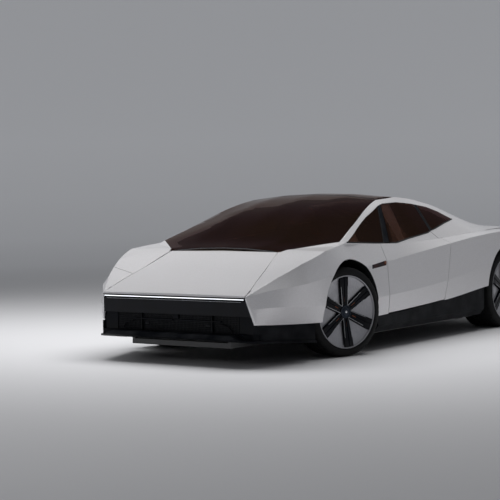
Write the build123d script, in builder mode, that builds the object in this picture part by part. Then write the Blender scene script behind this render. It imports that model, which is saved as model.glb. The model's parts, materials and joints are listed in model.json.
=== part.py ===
"""Mid-engined two-seat supercar: painted body panels, glass, cabin, running gear and opening panels.

Millimetres, +Z up. The origin is on the ground under the middle of the car, the nose points along -Y
and +X is the car's left side. Stations run rearwards from the front axle.
"""
from build123d import *
from math import cos, radians, sin, tan
import os

os.makedirs("parts", exist_ok=True)

# ------------------------------------------------------------------ driving sizes
wheelbase = 2800.0
front_overhang = 1115.0  # front axle to the splitter's tip
rear_overhang = 850.0  # rear axle to the diffuser's end
tyre_radius = 358.0
front_tyre_width = 265.0
rear_tyre_width = 335.0
rim_radius = 292.0  # where the tyre's bead sits
barrel_wall = 12.0
front_track = 1700.0  # between the front wheels' centre planes
rear_track = 1640.0
rest_steer = 17.6  # degrees, both front wheels turned to the car's right
brake_radius = 190.0
brake_thickness = 24.0
brake_offset = 28.0  # wheel centre plane to the brake disc's inner face
hub_radius = 62.0
spoke_count = 6
spoke_phase = 95.0  # degrees, the first spoke from level, nose to tail
spoke_foot = 54.0  # spoke's width at the hub cap and at the rim
spoke_tip = 92.0
spoke_top = 6.0  # wheel's outer plane to the spokes' faces
groove_width = 15.0
groove_depth = 6.0
dish_depth = 46.0  # wheel's outer plane to its flat panels at the hub and at the rim
dish_rim = 20.0
panel_wall = 10.0
cap_radius = 57.0
front_arch = (20.0, 27.0, 390.0)  # arch centre behind and above the wheel centre, and its radius
rear_arch = (0.0, 10.0, 407.0)
well_radius = 436.0
well_rise = 10.0
arch_lip = 928.0  # half-width where the well narrows to the arch
front_tub = 486.0  # half-width between the front wheel wells
rear_tub = 600.0
tub_wall = 26.0
floor_height = 130.0  # underside of the floor pan
floor_thickness = 40.0
panel_gap = 6.0
lid_gap = 8.0
seat_gap = 0.3  # clearance where one piece rests against another
lid_thickness = 36.0
glass_thickness = 8.0
glass_gap = 4.0  # door glass to the roof frame
frame_depth = 46.0  # roof frame and pillars, outside to inside
cabin_half_width = 838.0
cabin_front = -60.0  # stations of the cabin's ends
cabin_rear = 1790.0
footwell_end = 445.0  # where the cabin widens behind the front wheel wells
scuttle_height = 752.0  # top of the inner wings under the windscreen
dash_floor = 815.0  # top of the inner wings inside the cabin
bulkhead_thickness = 40.0
windscreen_front = -350.0
windscreen_rear = 1000.0
roof_rear = 1950.0
lid_rear = 3542.0
tail_front = 3553.0  # front face of the tail panel
nose_front = -1050.0
nose_back = -960.0
nose_corner = (694, 524)  # half-width and height where the nose face meets the bonnet and the wing
nose_foot = (738, 322)  # and where it meets the wing's lower edge
nose_lean = 54.0  # how far the face falls back between those heights
lip_height = 532.0  # underside of the bonnet's front lip
lamp_heights = (508, 521)
lamp_recess = 14.0
door_front = 590.0
door_hinge_x = 1008.0
door_bevel = 38.0  # how far the rear shut face leans forward from the skin to the cabin
door_lap = 3.0  # the door's window sill reaches this far into its lower half
arm_height = 112.0  # wishbone eyes above and below the wheel centre
arm_thickness = 25.0
eye_radius = 22.0

front_axle = front_overhang - (front_overhang + wheelbase + rear_overhang) / 2
left = 1
right = -1
rear_axle = 2800.0  # station of the rear wheels; at() carries it along with the wheelbase
cabin_length_change = wheelbase - rear_axle
far = 1300.0  # beyond the car's surface


def at(station):
    """Row-frame y of a station behind the front axle; the doors' stretch takes up the wheelbase."""
    stretch_start = 600.0
    stretch_end = 1700.0
    share = (station - stretch_start) / (stretch_end - stretch_start)
    return front_axle + station + cabin_length_change * min(max(share, 0.0), 1.0)


# ------------------------------------------------------------------ body sections
# Half sections of the painted lower body, from its lower edge up to the middle of the deck.
# station, lower edge x z, waist x z, shoulder x z, wing top x z, bonnet edge x z, middle z
lower_sections = [
    (-1050, 724, 325, 702, 440, 706, 518, 704, 538, 697, 545, 549),
    (-940, 775, 320, 812, 450, 794, 570, 756, 597, 673, 590, 596),
    (-800, 822, 313, 893, 450, 899, 597, 830, 675, 639, 652, 660),
    (-600, 880, 306, 948, 440, 966, 618, 912, 766, 591, 736, 745),
    (-350, 950, 300, 985, 435, 990, 652, 969, 855, 531, 846, 854),
    (-20, 984, 294, 1000, 435, 992, 690, 915, 893, 540, 876, 870),
    (380, 986, 290, 1002, 442, 986, 712, 912, 884, 570, 868, 862),
    (800, 988, 304, 1002, 458, 980, 746, 914, 868, 600, 856, 852),
    (1250, 991, 324, 1002, 482, 984, 790, 912, 864, 600, 856, 854),
    (1740, 996, 352, 1004, 525, 988, 836, 904, 880, 600, 874, 872),
    (2260, 1000, 400, 1006, 590, 995, 880, 900, 902, 600, 895, 893),
    (2780, 1000, 425, 1008, 630, 1000, 903, 890, 913, 600, 905, 903),
    (3250, 962, 422, 988, 620, 972, 905, 880, 914, 600, 906, 904),
    (3640, 850, 420, 880, 600, 880, 895, 840, 905, 600, 902, 900),
]
# Half sections of the glasshouse.
# station, foot x z, glass top x z, roof edge x z, shoulder of the roof x z, crown z
upper_sections = [
    (-520, 560, 690, 500, 730, 480, 745, 240, 762, 766),
    (-300, 640, 790, 606, 848, 582, 857, 290, 880, 886),
    (0, 930, 840, 912, 893, 886, 912, 440, 983, 997),
    (300, 930, 845, 846, 984, 812, 1018, 400, 1105, 1124),
    (620, 925, 845, 770, 1104, 737, 1137, 370, 1200, 1217),
    (960, 922, 845, 703, 1194, 657, 1229, 335, 1266, 1277),
    (1320, 915, 845, 662, 1205, 620, 1249, 310, 1275, 1283),
    (1700, 905, 855, 650, 1176, 604, 1219, 300, 1247, 1256),
    (2120, 905, 880, 665, 1098, 600, 1146, 300, 1187, 1200),
    (2560, 885, 890, 688, 998, 600, 1036, 300, 1078, 1092),
    (3040, 810, 895, 672, 932, 600, 946, 300, 977, 987),
    (3300, 785, 892, 664, 920, 600, 928, 300, 945, 951),
    (3560, 760, 889, 655, 908, 600, 911, 300, 916, 918),
]
# Side windows: station and height along the belt, then back along the top.
belt_line = [(70, 905), (600, 878), (870, 869), (1120, 894), (1530, 930), (1960, 1000), (2215, 1030)]
window_top = [(2040, 1105), (1848, 1152), (1574, 1185), (1309, 1204), (1000, 1198), (900, 1183),
              (600, 1094), (300, 980)]
# Dividers of the side windows: foot and head stations of their front and rear edges.
front_divider = ((612, 702), (922, 985))
rear_divider = ((1580, 1612), (1640, 1672))
door_rear_edge = [(1622, 948), (1702, 842), (1560, 375), (1548, 250)]
# Painted body's lower edge between the wheels.
sill_line = [(row[0], row[2]) for row in lower_sections if -100 < row[0] < 3000]


def section_loft(sections, first=0, depth=0.0, inset=0.0):
    """Loft of half sections; with a depth, only the skin above it, from the pair counted first."""
    with BuildPart() as body:
        for row in sections:
            pairs = [(row[i], row[i + 1]) for i in range(1 + 2 * first, len(row) - 1, 2)]
            skin = pairs + [(0.0, row[-1])]
            if depth:
                back = [(0.0, row[-1] - depth)] + [(x - inset, z - depth) for x, z in reversed(pairs)]
            else:
                back = [(0.0, skin[0][1])]
            with BuildSketch(Plane.XZ.offset(-at(row[0]))):
                with BuildLine():
                    Polyline(*skin, *back, close=True)
                make_face()
        loft()
    return body.part


def plan_prism(points, low=0.0, high=1500.0):
    """Upright prism on a plan outline of half-widths and stations."""
    with BuildPart() as prism:
        with BuildSketch(Plane.XY.offset(low)):
            with BuildLine():
                Polyline(*[(x, at(station)) for x, station in points], close=True)
            make_face()
        extrude(amount=high - low)
    return prism.part


def side_prism(points, inner=0.0, outer=1300.0, grow=0.0):
    """Prism across the car on a side outline of stations and heights, grown all round if asked."""
    with BuildPart() as prism:
        with BuildSketch(Plane.YZ.offset(inner)):
            with BuildLine():
                Polyline(*[(at(station), z) for station, z in points], close=True)
            make_face()
            if grow:
                offset(amount=grow, kind=Kind.INTERSECTION)
        extrude(amount=outer - inner)
    return prism.part


def door_prism(grow):
    """Prism of the door's outline; its rear face leans forward towards the cabin."""
    lean = door_bevel / (door_hinge_x - cabin_half_width)
    skin = door_hinge_x - 23.0
    rear_top = door_rear_edge[0][0]
    ends = []
    for half_width in (700.0, 1200.0):
        shift = (half_width - skin) * lean + grow
        front = door_front + panel_gap / 2 - grow
        belt = [point for point in belt_line if front < point[0] < rear_top + shift - 20]
        rear = [(station + shift, z) for station, z in door_rear_edge]
        foot = rear.pop()
        rear[0] = (rear[0][0], height_on(belt_line, rear[0][0]))
        sill = [(station, z + panel_gap) for station, z in sill_line if front < station < foot[0]]
        bottom = [(foot[0], height_on(sill_line, foot[0]) + panel_gap)] + sill[::-1]
        bottom.append((front, height_on(sill_line, front) + panel_gap))
        ends.append((half_width, [(front, height_on(belt_line, front))] + belt + rear + bottom))
    with BuildPart() as prism:
        for half_width, outline in ends:
            with BuildSketch(Plane.YZ.offset(half_width)):
                with BuildLine():
                    Polyline(*[(at(station), z - (10 * grow if z < 360 else 0)) for station, z in outline],
                             close=True)
                make_face()
        loft(ruled=True)
    return prism.part


def block(x, stations, z):
    """Box between two half-widths, two stations and two heights."""
    return plan_prism([(x[0], stations[0]), (x[1], stations[0]), (x[1], stations[1]), (x[0], stations[1])],
                      *z)


def front_prism(points, stations):
    """Prism along the car on a half section of half-widths and heights."""
    with BuildPart() as prism:
        with BuildSketch(Plane.XZ.offset(-at(stations[0]))):
            with BuildLine():
                Polyline(*points, close=True)
            make_face()
        extrude(amount=at(stations[0]) - at(stations[1]))
    return prism.part


def cross_cylinder(radius, station, height, inner, outer):
    """Cylinder lying across the car."""
    with BuildPart() as cylinder:
        with BuildSketch(Plane.YZ.offset(inner)):
            with Locations((at(station), height)):
                Circle(radius)
        extrude(amount=outer - inner)
    return cylinder.part


def combine(part, tools, mode):
    """The part with every tool added, taken away or intersected."""
    with BuildPart() as result:
        add(part)
        for tool in tools:
            add(tool, mode=mode)
    return result.part


def joined(part, *tools):
    return combine(part, tools, Mode.ADD)


def cut(part, *tools):
    return combine(part, tools, Mode.SUBTRACT)


def common(part, *tools):
    return combine(part, tools, Mode.INTERSECT)


def flipped(part):
    """The part's mirror image on the car's right side."""
    with BuildPart() as image:
        add(part)
        mirror(about=Plane.YZ, mode=Mode.REPLACE)
    return image.part


def both_sides(part):
    """The part and its mirror image."""
    with BuildPart() as pair:
        add(part)
        mirror(about=Plane.YZ)
    return pair.part


def save(part, name):
    """Label a finished piece and write its file."""
    part.label = name
    export_step(part, f"parts/{name}.step")


def save_pair(part, name):
    """Write a left piece and its mirror image."""
    save(part, f"{name}_left")
    save(flipped(part), f"{name}_right")


def roof_edge(first, last, inward):
    """Plan points along the roof's edge between two stations, moved inward."""
    rows = [(row[0], row[5]) for row in upper_sections]
    stations = [first] + [station for station, x in rows if first < station < last] + [last]
    edge = []
    for station in stations:
        for (s0, x0), (s1, x1) in zip(rows, rows[1:]):
            if s0 < station <= s1:
                edge.append((x0 + (x1 - x0) * (station - s0) / (s1 - s0) - inward, station))
    return edge


def top_outline(first, last, inward):
    """Closed plan outline of a top panel as wide as the roof's edge."""
    return [(0, first)] + roof_edge(first, last, inward) + [(0, last)]


def height_on(line, station):
    """Height of a side outline at a station."""
    for (s0, z0), (s1, z1) in zip(line, line[1:]):
        if s0 <= station <= s1:
            return z0 + (z1 - z0) * (station - s0) / (s1 - s0)
    return line[-1][1]


# ------------------------------------------------------------------ shared cutting shapes, left half
def wheel_well(station, arch, tub):
    """Hollow of a wheel: a wide well inside the skin and its arch through the skin."""
    shift, rise, radius = arch
    well = cross_cylinder(well_radius, station, tyre_radius + well_rise, tub, arch_lip)
    return joined(well, cross_cylinder(radius, station + shift, tyre_radius + rise, tub, far))


front_well = wheel_well(0, front_arch, front_tub)
rear_well = wheel_well(rear_axle, rear_arch, rear_tub)
wing_line = [(row[0], row[8]) for row in lower_sections]
above_wing_line = side_prism([(wing_line[0][0] - 50, wing_line[0][1])] + wing_line +
                             [(wing_line[-1][0], far), (wing_line[0][0] - 50, far)])
windscreen_zone = plan_prism(top_outline(windscreen_front - lid_gap, 400, -1), scuttle_height)
door_shape = door_prism(0)
door_opening = door_prism(panel_gap)
bonnet_edge = [(row[9], row[0]) for row in lower_sections if row[0] <= windscreen_front]


def bonnet_plan(side, front, rear):
    """Closed plan outline of the bonnet, its sides moved out."""
    points = [(x + side, station) for x, station in bonnet_edge[1:-1]]
    first = (bonnet_edge[0][0] + side, nose_front - front)
    last = (bonnet_edge[-1][0] + side, windscreen_front - rear)
    return [(0, nose_front - front), first] + points + [last, (0, windscreen_front - rear)]


# ------------------------------------------------------------------ painted lower body
lower_half = section_loft(lower_sections)
lower_shell = cut(lower_half,
                  block((0, cabin_half_width), (footwell_end, cabin_rear), (0, far)),
                  block((0, cabin_half_width), (cabin_front, footwell_end + 1), (dash_floor, far)),
                  block((0, front_tub), (nose_front - 20, footwell_end + 1), (0, far)),
                  block((0, rear_tub), (cabin_rear - 5, lid_rear + lid_gap), (0, far)),
                  front_well, rear_well, windscreen_zone, above_wing_line)
marker_outline = [(336, 680), (570, 698), (576, 736), (338, 712)]
bonnet_under = [(row[0], row[10] - lid_thickness - lid_gap) for row in lower_sections[:5]]
bonnet_pocket = common(plan_prism(bonnet_plan(panel_gap, 20, -1), 300),
                       side_prism([(nose_front - 40, bonnet_under[0][1])] + bonnet_under +
                                  [(windscreen_front + 20, bonnet_under[-1][1]),
                                   (windscreen_front + 20, far), (nose_front - 40, far)]))
bonnet_skin = section_loft(lower_sections[:6], 3, lid_thickness)
lip_end = (-985, 541)  # station and height where the thin front lip reaches the full thickness
under_lip = side_prism([(nose_front - 40, 0), (nose_front - 40, lip_height), (nose_front, lip_height),
                        lip_end, (lip_end[0], 0)])
bonnet = common(bonnet_skin, plan_prism(bonnet_plan(0, 20, lid_gap), 300))
save(both_sides(cut(bonnet, under_lip)), "bonnet")


def nose_zone(inset, low=0.0, high=far):
    """Half section of the nose face between two heights, moved in from the wings."""
    top_x, top_z = nose_corner
    foot_x, foot_z = nose_foot
    slope = (foot_x - top_x) / (top_z - foot_z)
    levels = [low] + [z for z in (foot_z, top_z) if low < z < high] + [high]
    edge = [(min(max(top_x, top_x + (top_z - z) * slope), foot_x) - inset, z) for z in levels]
    return [(0, low)] + edge + [(0, high)]


bumper_zone = front_prism(nose_zone(0), (nose_front - 20, nose_back))
ahead_of_face = side_prism([(nose_front - 60, 531), (nose_front, 531), (nose_front + nose_lean, nose_foot[1]),
                            (nose_front + nose_lean, 0), (nose_front - 60, 0)])
front_part = block((0, far), (nose_front - 20, door_front - panel_gap / 2), (0, far))
buffer_skin = section_loft(lower_sections[:6], 3, lid_thickness + seat_gap)
buffer_under = height_on(bonnet_under, -420)
bonnet_buffer = cut(block((500, 522), (-432, -408), (buffer_under - 20, buffer_under + 20)), buffer_skin)
hinge_plates = [block((850, 880), (door_front - 8, door_front + 8), (z, z + 70)) for z in (400, 700)]
striker = block((845, 875), (1500, 1720), (600, 640))
shut_gap = cut(door_opening, door_prism(seat_gap))
wing = cut(common(lower_shell, front_part), bonnet_pocket, bumper_zone, ahead_of_face,
           side_prism(marker_outline, 944, far, seat_gap), door_opening)
wing = joined(wing, bonnet_buffer, *[common(shut_gap, plate) for plate in hinge_plates])
save_pair(wing, "wing")
rear_part = block((rear_tub, far), (1490, tail_front - seat_gap), (0, far))
quarter = joined(cut(common(lower_shell, rear_part), door_opening), common(shut_gap, striker))
save_pair(quarter, "quarter_panel")
door_lower = common(lower_shell, door_shape)
save(both_sides(common(lower_shell, side_prism(marker_outline, 945))), "side_markers")
tail_end = 3700  # station beyond the tail
lamp_slot_floor = 3626
tail_lamp_heights = (801, 825)
vent_half_width = 690
plate_half_width = 230  # space between the louvres for a number plate
vent_z = (505, 745)
vent_floor = 3612
tail_panel = common(lower_half, block((0, far), (tail_front, tail_end), (0, far)))
tail_slot = block((0, far), (lamp_slot_floor, tail_end),
                  (tail_lamp_heights[0] - seat_gap, tail_lamp_heights[1] + seat_gap))
vent_recess = block((0, vent_half_width), (vent_floor, tail_end), vent_z)
save(both_sides(cut(tail_panel, tail_slot, vent_recess)), "tail_panel")
vent_plate = block((0, vent_half_width - seat_gap), (vent_floor + seat_gap, vent_floor + 8),
                   (vent_z[0] + seat_gap, vent_z[1] - seat_gap))
louvre_root = vent_floor + 5
louvre_edge = vent_floor + 25
louvre_heights = range(vent_z[0] + 30, vent_z[1] - 12, 34)
louvres = [side_prism([(louvre_root, z), (louvre_edge, z - 12), (louvre_edge, z - 4), (louvre_root, z + 8)],
                      plate_half_width, vent_half_width - 12) for z in louvre_heights]
save(both_sides(joined(vent_plate, *louvres)), "tail_grille")
lamp_proud = 8
lamp_shell = section_loft([(row[0] + lamp_proud, *row[1:]) for row in lower_sections[-2:]])
tail_light = common(lamp_shell, block((0, far), (lamp_slot_floor + seat_gap, tail_end), tail_lamp_heights))
save(both_sides(tail_light), "tail_light")

# ------------------------------------------------------------------ roof frame and glass
frame_band = section_loft(upper_sections, 0, frame_depth, frame_depth)
glass_band = section_loft(upper_sections, 0, glass_thickness, glass_thickness)
lid_band = section_loft(upper_sections[6:], 2, lid_thickness)
pillar_start = -285
frame_end = 3545
frame_line = [(pillar_start, height_on(wing_line, pillar_start))]
frame_line += [point for point in wing_line if pillar_start < point[0] < frame_end]
frame_line.append((frame_end, height_on(wing_line, frame_end)))
frame_zone = side_prism([(station, z + seat_gap) for station, z in frame_line] +
                        [(frame_end, far), (pillar_start, far)])
roof_void = plan_prism([(0, pillar_start - 10)] + roof_edge(pillar_start - 10, 3540, 0) +
                       [(roof_edge(3539, 3540, 0)[-1][0], 3600), (0, 3600)], 600)
side_window = side_prism(belt_line + window_top, 400)
frame = cut(common(frame_band, frame_zone), roof_void, side_window, door_opening)
save_pair(frame, "roof_frame")
door_zone = side_prism([(station, z - door_lap) for station, z in frame_line] +
                       [(frame_end, far), (pillar_start, far)])
door_upper = common(frame_band, door_zone, door_shape, block((700, far), (885, 1700), (0, far)))
save_pair(joined(door_lower, door_upper), "door")


def divider(shape):
    """Strip between two side windows, foot and head stations given for its front and rear edges."""
    (foot_front, foot_rear), (head_front, head_rear) = shape
    strip = side_prism([(foot_front, 800), (foot_rear, 800), (head_rear, 1230), (head_front, 1230)], 400)
    return common(frame_band, side_window, strip)


def beside(shape, ahead, gap):
    """Side prism of everything ahead of or behind a divider, a gap away from it."""
    (foot_front, foot_rear), (head_front, head_rear) = shape
    if ahead:
        edge = [(foot_front - gap, 800), (head_front - gap, 1230)]
        return side_prism(edge + [(-400, 1230), (-400, 800)], 400)
    edge = [(foot_rear + gap, 800), (head_rear + gap, 1230)]
    return side_prism(edge + [(2600, 1230), (2600, 800)], 400)


panes = common(glass_band, side_prism(belt_line + window_top, 400, far, -seat_gap))
front_pane = common(panes, beside(front_divider, True, seat_gap))
rear_pane = common(panes, beside(rear_divider, False, seat_gap))
save(both_sides(joined(front_pane, rear_pane)), "quarter_glass")
moving_outline = [(station, z + seat_gap) for station, z in belt_line]
moving_outline += [(station, z - glass_gap) for station, z in window_top]
door_pane = common(glass_band, side_prism(moving_outline, 400), beside(front_divider, False, panel_gap),
                   beside(rear_divider, True, panel_gap))
save_pair(door_pane, "door_glass")
save(both_sides(joined(divider(front_divider), divider(rear_divider))), "window_pillars")
windscreen_plan = top_outline(windscreen_front, windscreen_rear - 2, seat_gap)
roof_plan = top_outline(windscreen_rear + 2, roof_rear, seat_gap)
save(both_sides(common(glass_band, plan_prism(windscreen_plan, 600))), "windscreen")
save(both_sides(common(glass_band, plan_prism(roof_plan, 600))), "roof_glass")
lid_front = roof_rear + lid_gap + 4
lid_side = upper_sections[-1][5] - lid_gap
lid_zone = side_prism([(lid_front, 600), (lid_rear - 12, 860), (lid_rear, far), (lid_front, far)], 0)
window_rows = (470, (lid_front + 90, 2700))
tail_lid = common(lid_band, block((0, lid_side), (lid_front, lid_rear), (0, far)), lid_zone)
save(both_sides(cut(tail_lid, block((0, window_rows[0]), window_rows[1], (0, far)))), "tail_lid")
glass_rows = (window_rows[1][0] + seat_gap, window_rows[1][1] - seat_gap)
tail_window = common(glass_band, block((0, window_rows[0] - seat_gap), glass_rows, (0, far)))
save(both_sides(tail_window), "tail_window")

# ------------------------------------------------------------------ nose and underbody
band_bottom = 385
splitter_top = 245
lamp_back = nose_front + lamp_recess
step = lamp_heights[0] - 3
bumper_side = [(nose_front - 20, band_bottom), (nose_back + 2, band_bottom), (nose_back + 2, 530),
               (lamp_back, lamp_heights[1]), (lamp_back, step), (nose_front - 20, step)]
bumper = common(lower_half, front_prism(nose_zone(seat_gap), (nose_front - 20, nose_back - seat_gap)),
                side_prism(bumper_side))
post = front_prism([(600, splitter_top + seat_gap)] +
                   nose_zone(seat_gap, splitter_top + seat_gap, band_bottom)[1:-1] + [(600, band_bottom)],
                   (nose_front + nose_lean + 6, nose_back - seat_gap))
save(both_sides(joined(cut(bumper, ahead_of_face), post)), "bumper")
light_bar = block((0, nose_corner[0] - 9), (nose_front - 1, lamp_back - seat_gap), lamp_heights)
save(both_sides(light_bar), "light_bar")
grille_front = nose_front + 66
grille_depth = 24
vane_front = nose_front + nose_lean - 8
grille_back = block((0, 600 - seat_gap), (grille_front, grille_front + grille_depth),
                    (splitter_top + seat_gap, band_bottom - seat_gap))
vanes = [block((36, 431), (vane_front, grille_front), (334, 343)),
         block((340, 352), (vane_front, grille_front), (splitter_top + seat_gap, band_bottom - seat_gap)),
         block((0, 22), (vane_front, grille_front), (350, band_bottom - seat_gap))]
save(both_sides(joined(grille_back, *vanes)), "intake_grille")


def ruled_block(first, second):
    """Ruled solid between two upright rectangles: station, inner and outer half-width, low and high."""
    with BuildPart() as solid:
        for station, inner, outer, low, high in (first, second):
            with BuildSketch(Plane.XZ.offset(-at(station))):
                with BuildLine():
                    Polyline((inner, low), (outer, low), (outer, high), (inner, high), close=True)
                make_face()
        loft(ruled=True)
    return solid.part


splitter_plan = [(0, -front_overhang), (600, -front_overhang), (668, -1092), (735, -1045), (770, -1000),
                 (770, -951), (0, -951)]
splitter_side = [(-front_overhang, 216), (-1094, 243), (-951, splitter_top), (-951, 188), (-1000, 186),
                 (-1090, 203)]
corner_drop = [(560, 300), (580, 244), (610, 234), (655, 214), (700, 204), (800, 202), (800, 300)]
splitter_plate = common(plan_prism(splitter_plan, 150, 300), side_prism(splitter_side, 0))
splitter_plate = cut(splitter_plate, front_prism(corner_drop, (-front_overhang - 10, -955)))
chin = ruled_block((-1010, 500, 742, 186, 312), (-445, 500, 930, 152, 300 - seat_gap))
chin = cut(chin, side_prism([(-1100, splitter_top), (-955, splitter_top), (-955, far), (-1100, far)], 0,
                            nose_foot[0] + 1))
blade = ruled_block((-1002, 690, 770, 186, 200), (-445, 690, 946, 152, 166))
save(both_sides(joined(splitter_plate, chin, blade)), "splitter")

floor_top = floor_height + floor_thickness
sill_ends = (442, 2358)
sill_drop = 9  # below the painted lower edge
sill_inner = cabin_half_width + 2
tub_rear = 3240  # rear end of the floor, where the diffuser starts
with BuildPart() as sill_bar:
    with BuildSketch(Plane.XZ.offset(-at(sill_ends[0]))):
        with BuildLine():
            Polyline((sill_inner, 150), (930, 150), (972, 205), (972, 450), (sill_inner, 450), close=True)
        make_face()
    extrude(amount=-(at(sill_ends[1]) - at(sill_ends[0])))
sill_limit = side_prism([(station, z - sill_drop) for station, z in sill_line] +
                        [(sill_line[-1][0], 100), (sill_line[0][0], 100)])
save(both_sides(common(sill_bar.part, sill_limit)), "sills")
wall_top = [(row[0], row[6] - lid_thickness - lid_gap) for row in upper_sections[8:11]]
wall_top = [(lid_front + 20, wall_top[0][1] + 10)] + wall_top + [(tub_rear, 868)]
buffer_base = wall_top[2][1]
buffer_block = block((rear_tub - tub_wall, lid_side - 2), (2550, 2570), (buffer_base - 10, buffer_base + 20))
lid_buffer = cut(buffer_block, section_loft(upper_sections[6:], 2, lid_thickness + seat_gap))
floor_front = nose_back + 10
bulkhead = (cabin_rear, cabin_rear + bulkhead_thickness)
bulkhead_top = 900
front_outer = front_tub - seat_gap
rear_outer = rear_tub - seat_gap
front_wall = [(floor_front, floor_top), (cabin_front, floor_top), (cabin_front, scuttle_height),
              (windscreen_front, scuttle_height), (floor_front, 530)]
rear_wall = [(cabin_rear, floor_top), (tub_rear, floor_top)] + wall_top[::-1] + [(cabin_rear, bulkhead_top)]
floor = joined(block((0, front_outer), (floor_front, sill_ends[0]), (floor_height, floor_top)),
               block((0, sill_inner - seat_gap), (sill_ends[0], sill_ends[1]), (floor_height, floor_top)),
               block((0, rear_outer), (sill_ends[1], tub_rear), (floor_height, floor_top)),
               side_prism(front_wall, front_tub - tub_wall, front_outer),
               block((0, front_outer), (cabin_front - 30, cabin_front), (floor_top, scuttle_height)),
               block((0, rear_outer), bulkhead, (floor_top, bulkhead_top)),
               side_prism(rear_wall, rear_tub - tub_wall, rear_outer), lid_buffer)
save(both_sides(floor), "floor_pan")
save(both_sides(block((0, 300), (cabin_rear + 90, 2620), (floor_top + seat_gap, 640))), "power_unit")
diffuser_front = tub_rear + seat_gap
apron = ruled_block((tub_rear, rear_tub, 925, 180, 412), (3600, rear_tub, 850, 300, 412))
fins = [ruled_block((tub_rear, x, x + 10, 150, 200), (3640, x, x + 10, 200, 345)) for x in (110, 270, 430)]
diffuser_plate = side_prism([(diffuser_front, 150), (3650, 330), (3650, 360), (diffuser_front, 190)], 0, 592)
tail_beam = block((0, 845), (3560, 3640), (345, 419.5))
save(both_sides(joined(diffuser_plate, apron, tail_beam, *fins)), "diffuser")

# ------------------------------------------------------------------ cabin
dash_face = (352, 816)
wheel_lean = 22
dash_top = [(-330, scuttle_height + 4), (-330, 800), (-100, 856), (200, 900), (330, 878), dash_face]
dash_under = [(cabin_front + 1, dash_floor + 1), (cabin_front - 1, scuttle_height + 4)]
dash_profile = side_prism(dash_top + dash_under, 0, 830)
dash_foot = 640
dash_toe = dash_face[0] + (dash_face[1] - dash_foot) * tan(radians(wheel_lean))
dash_centre = side_prism([(cabin_front + 1, dash_face[1] + 2), dash_face, (dash_toe, dash_foot),
                          (cabin_front + 1, dash_foot)], 0, front_tub - 4)
dash_plan = plan_prism([(0, -330), (490, -330), (790, -40), (825, 300), (825, 352), (0, 352)], 600)
console = block((0, 120), (290, 1500), (floor_top + seat_gap, 420))
console_riser = block((0, 120), (290, 340), (420, 700))
save(both_sides(joined(common(dash_profile, dash_plan), dash_centre, console, console_riser)), "dashboard")
seat_profile = [(690, 230), (700, 395), (760, 410), (1180, 345), (1500, 930), (1560, 1020), (1630, 1012),
                (1640, 900), (1380, 230), (1380, floor_top + seat_gap), (740, floor_top + seat_gap)]
save(both_sides(side_prism(seat_profile, 150, 680)), "seats")
hub_station = 480
hub_height = 795
column = (hub_station - dash_face[0]) * cos(radians(wheel_lean))
column += (hub_height - dash_face[1]) * sin(radians(wheel_lean)) - seat_gap
with BuildPart() as steering_wheel:
    hub_plane = Plane(origin=(400, at(hub_station), hub_height), x_dir=(1, 0, 0),
                      z_dir=(0, cos(radians(wheel_lean)), sin(radians(wheel_lean))))
    with BuildSketch(hub_plane.offset(-14)):
        Circle(182)
        Circle(152, mode=Mode.SUBTRACT)
        with Locations((0, -8)):
            Rectangle(320, 44)
    extrude(amount=28)
    with BuildSketch(hub_plane):
        Circle(34)
    extrude(amount=-column)
save(steering_wheel.part, "steering_wheel")

# ------------------------------------------------------------------ wheels and running gear


def turned(part, side, station, track, steered):
    """A piece made about the origin with +X outwards, placed at a wheel of the given side."""
    if side == right:
        with BuildPart() as image:
            add(part)
            mirror(about=Plane.YZ, mode=Mode.REPLACE)
        part = image.part
    angle = -rest_steer if steered else 0
    return part.moved(Location((side * track / 2, at(station), tyre_radius), (0, 0, angle)))


def make_tyre(width):
    with BuildPart() as tyre:
        with BuildSketch(Plane.XY):
            with BuildLine():
                half = width / 2
                inner = rim_radius + seat_gap
                crown = tyre_radius
                Polyline((-half + 14, inner), (half - 14, inner), (half, inner + 26),
                         (half - 4, crown - 16), (half - 22, crown), (-half + 22, crown),
                         (-half + 4, crown - 16), (-half, inner + 26), close=True)
            make_face()
        revolve(axis=Axis.X)
    return tyre.part


def make_rim(width):
    half = width / 2
    inner = rim_radius - barrel_wall
    foot = half - dish_depth
    ledge = half - dish_rim
    top = half - spoke_top
    brake_face = brake_offset + brake_thickness
    with BuildPart() as rim:
        with BuildSketch(Plane.XY):
            with BuildLine():
                Polyline((-half, rim_radius), (-half, inner), (half - 8, inner), (half - 8, rim_radius),
                         close=True)
            make_face()
            with BuildLine():
                Polyline((foot - panel_wall, 0), (foot, 0), (foot, hub_radius), (ledge, inner + 1),
                         (ledge - panel_wall, inner + 1), (foot - panel_wall, hub_radius), close=True)
            make_face()
            with BuildLine():
                Polyline((brake_offset, 0), (brake_face, 0), (brake_face, brake_radius),
                         (brake_offset, brake_radius), close=True)
            make_face()
            with BuildLine():
                Polyline((brake_offset, 0), (foot, 0), (foot, hub_radius - 8), (brake_offset, hub_radius - 8),
                         close=True)
            make_face()
        revolve(axis=Axis.X)
        with BuildSketch(Plane.YZ.offset(foot - 1)):
            Circle(cap_radius)
            with PolarLocations(0, spoke_count, start_angle=spoke_phase):
                Polygon((cap_radius - 14, -spoke_foot / 2), (inner - 3, -spoke_tip / 2),
                        (inner - 3, spoke_tip / 2), (cap_radius - 14, spoke_foot / 2), align=None)
        extrude(amount=top - foot + 1)
        with BuildSketch(Plane.YZ.offset(top)):
            with PolarLocations(0, spoke_count, start_angle=spoke_phase):
                with Locations((rim_radius / 2 + 14, 0)):
                    Rectangle(rim_radius - 100, groove_width)
        extrude(amount=-groove_depth, mode=Mode.SUBTRACT)
    return rim.part


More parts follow.
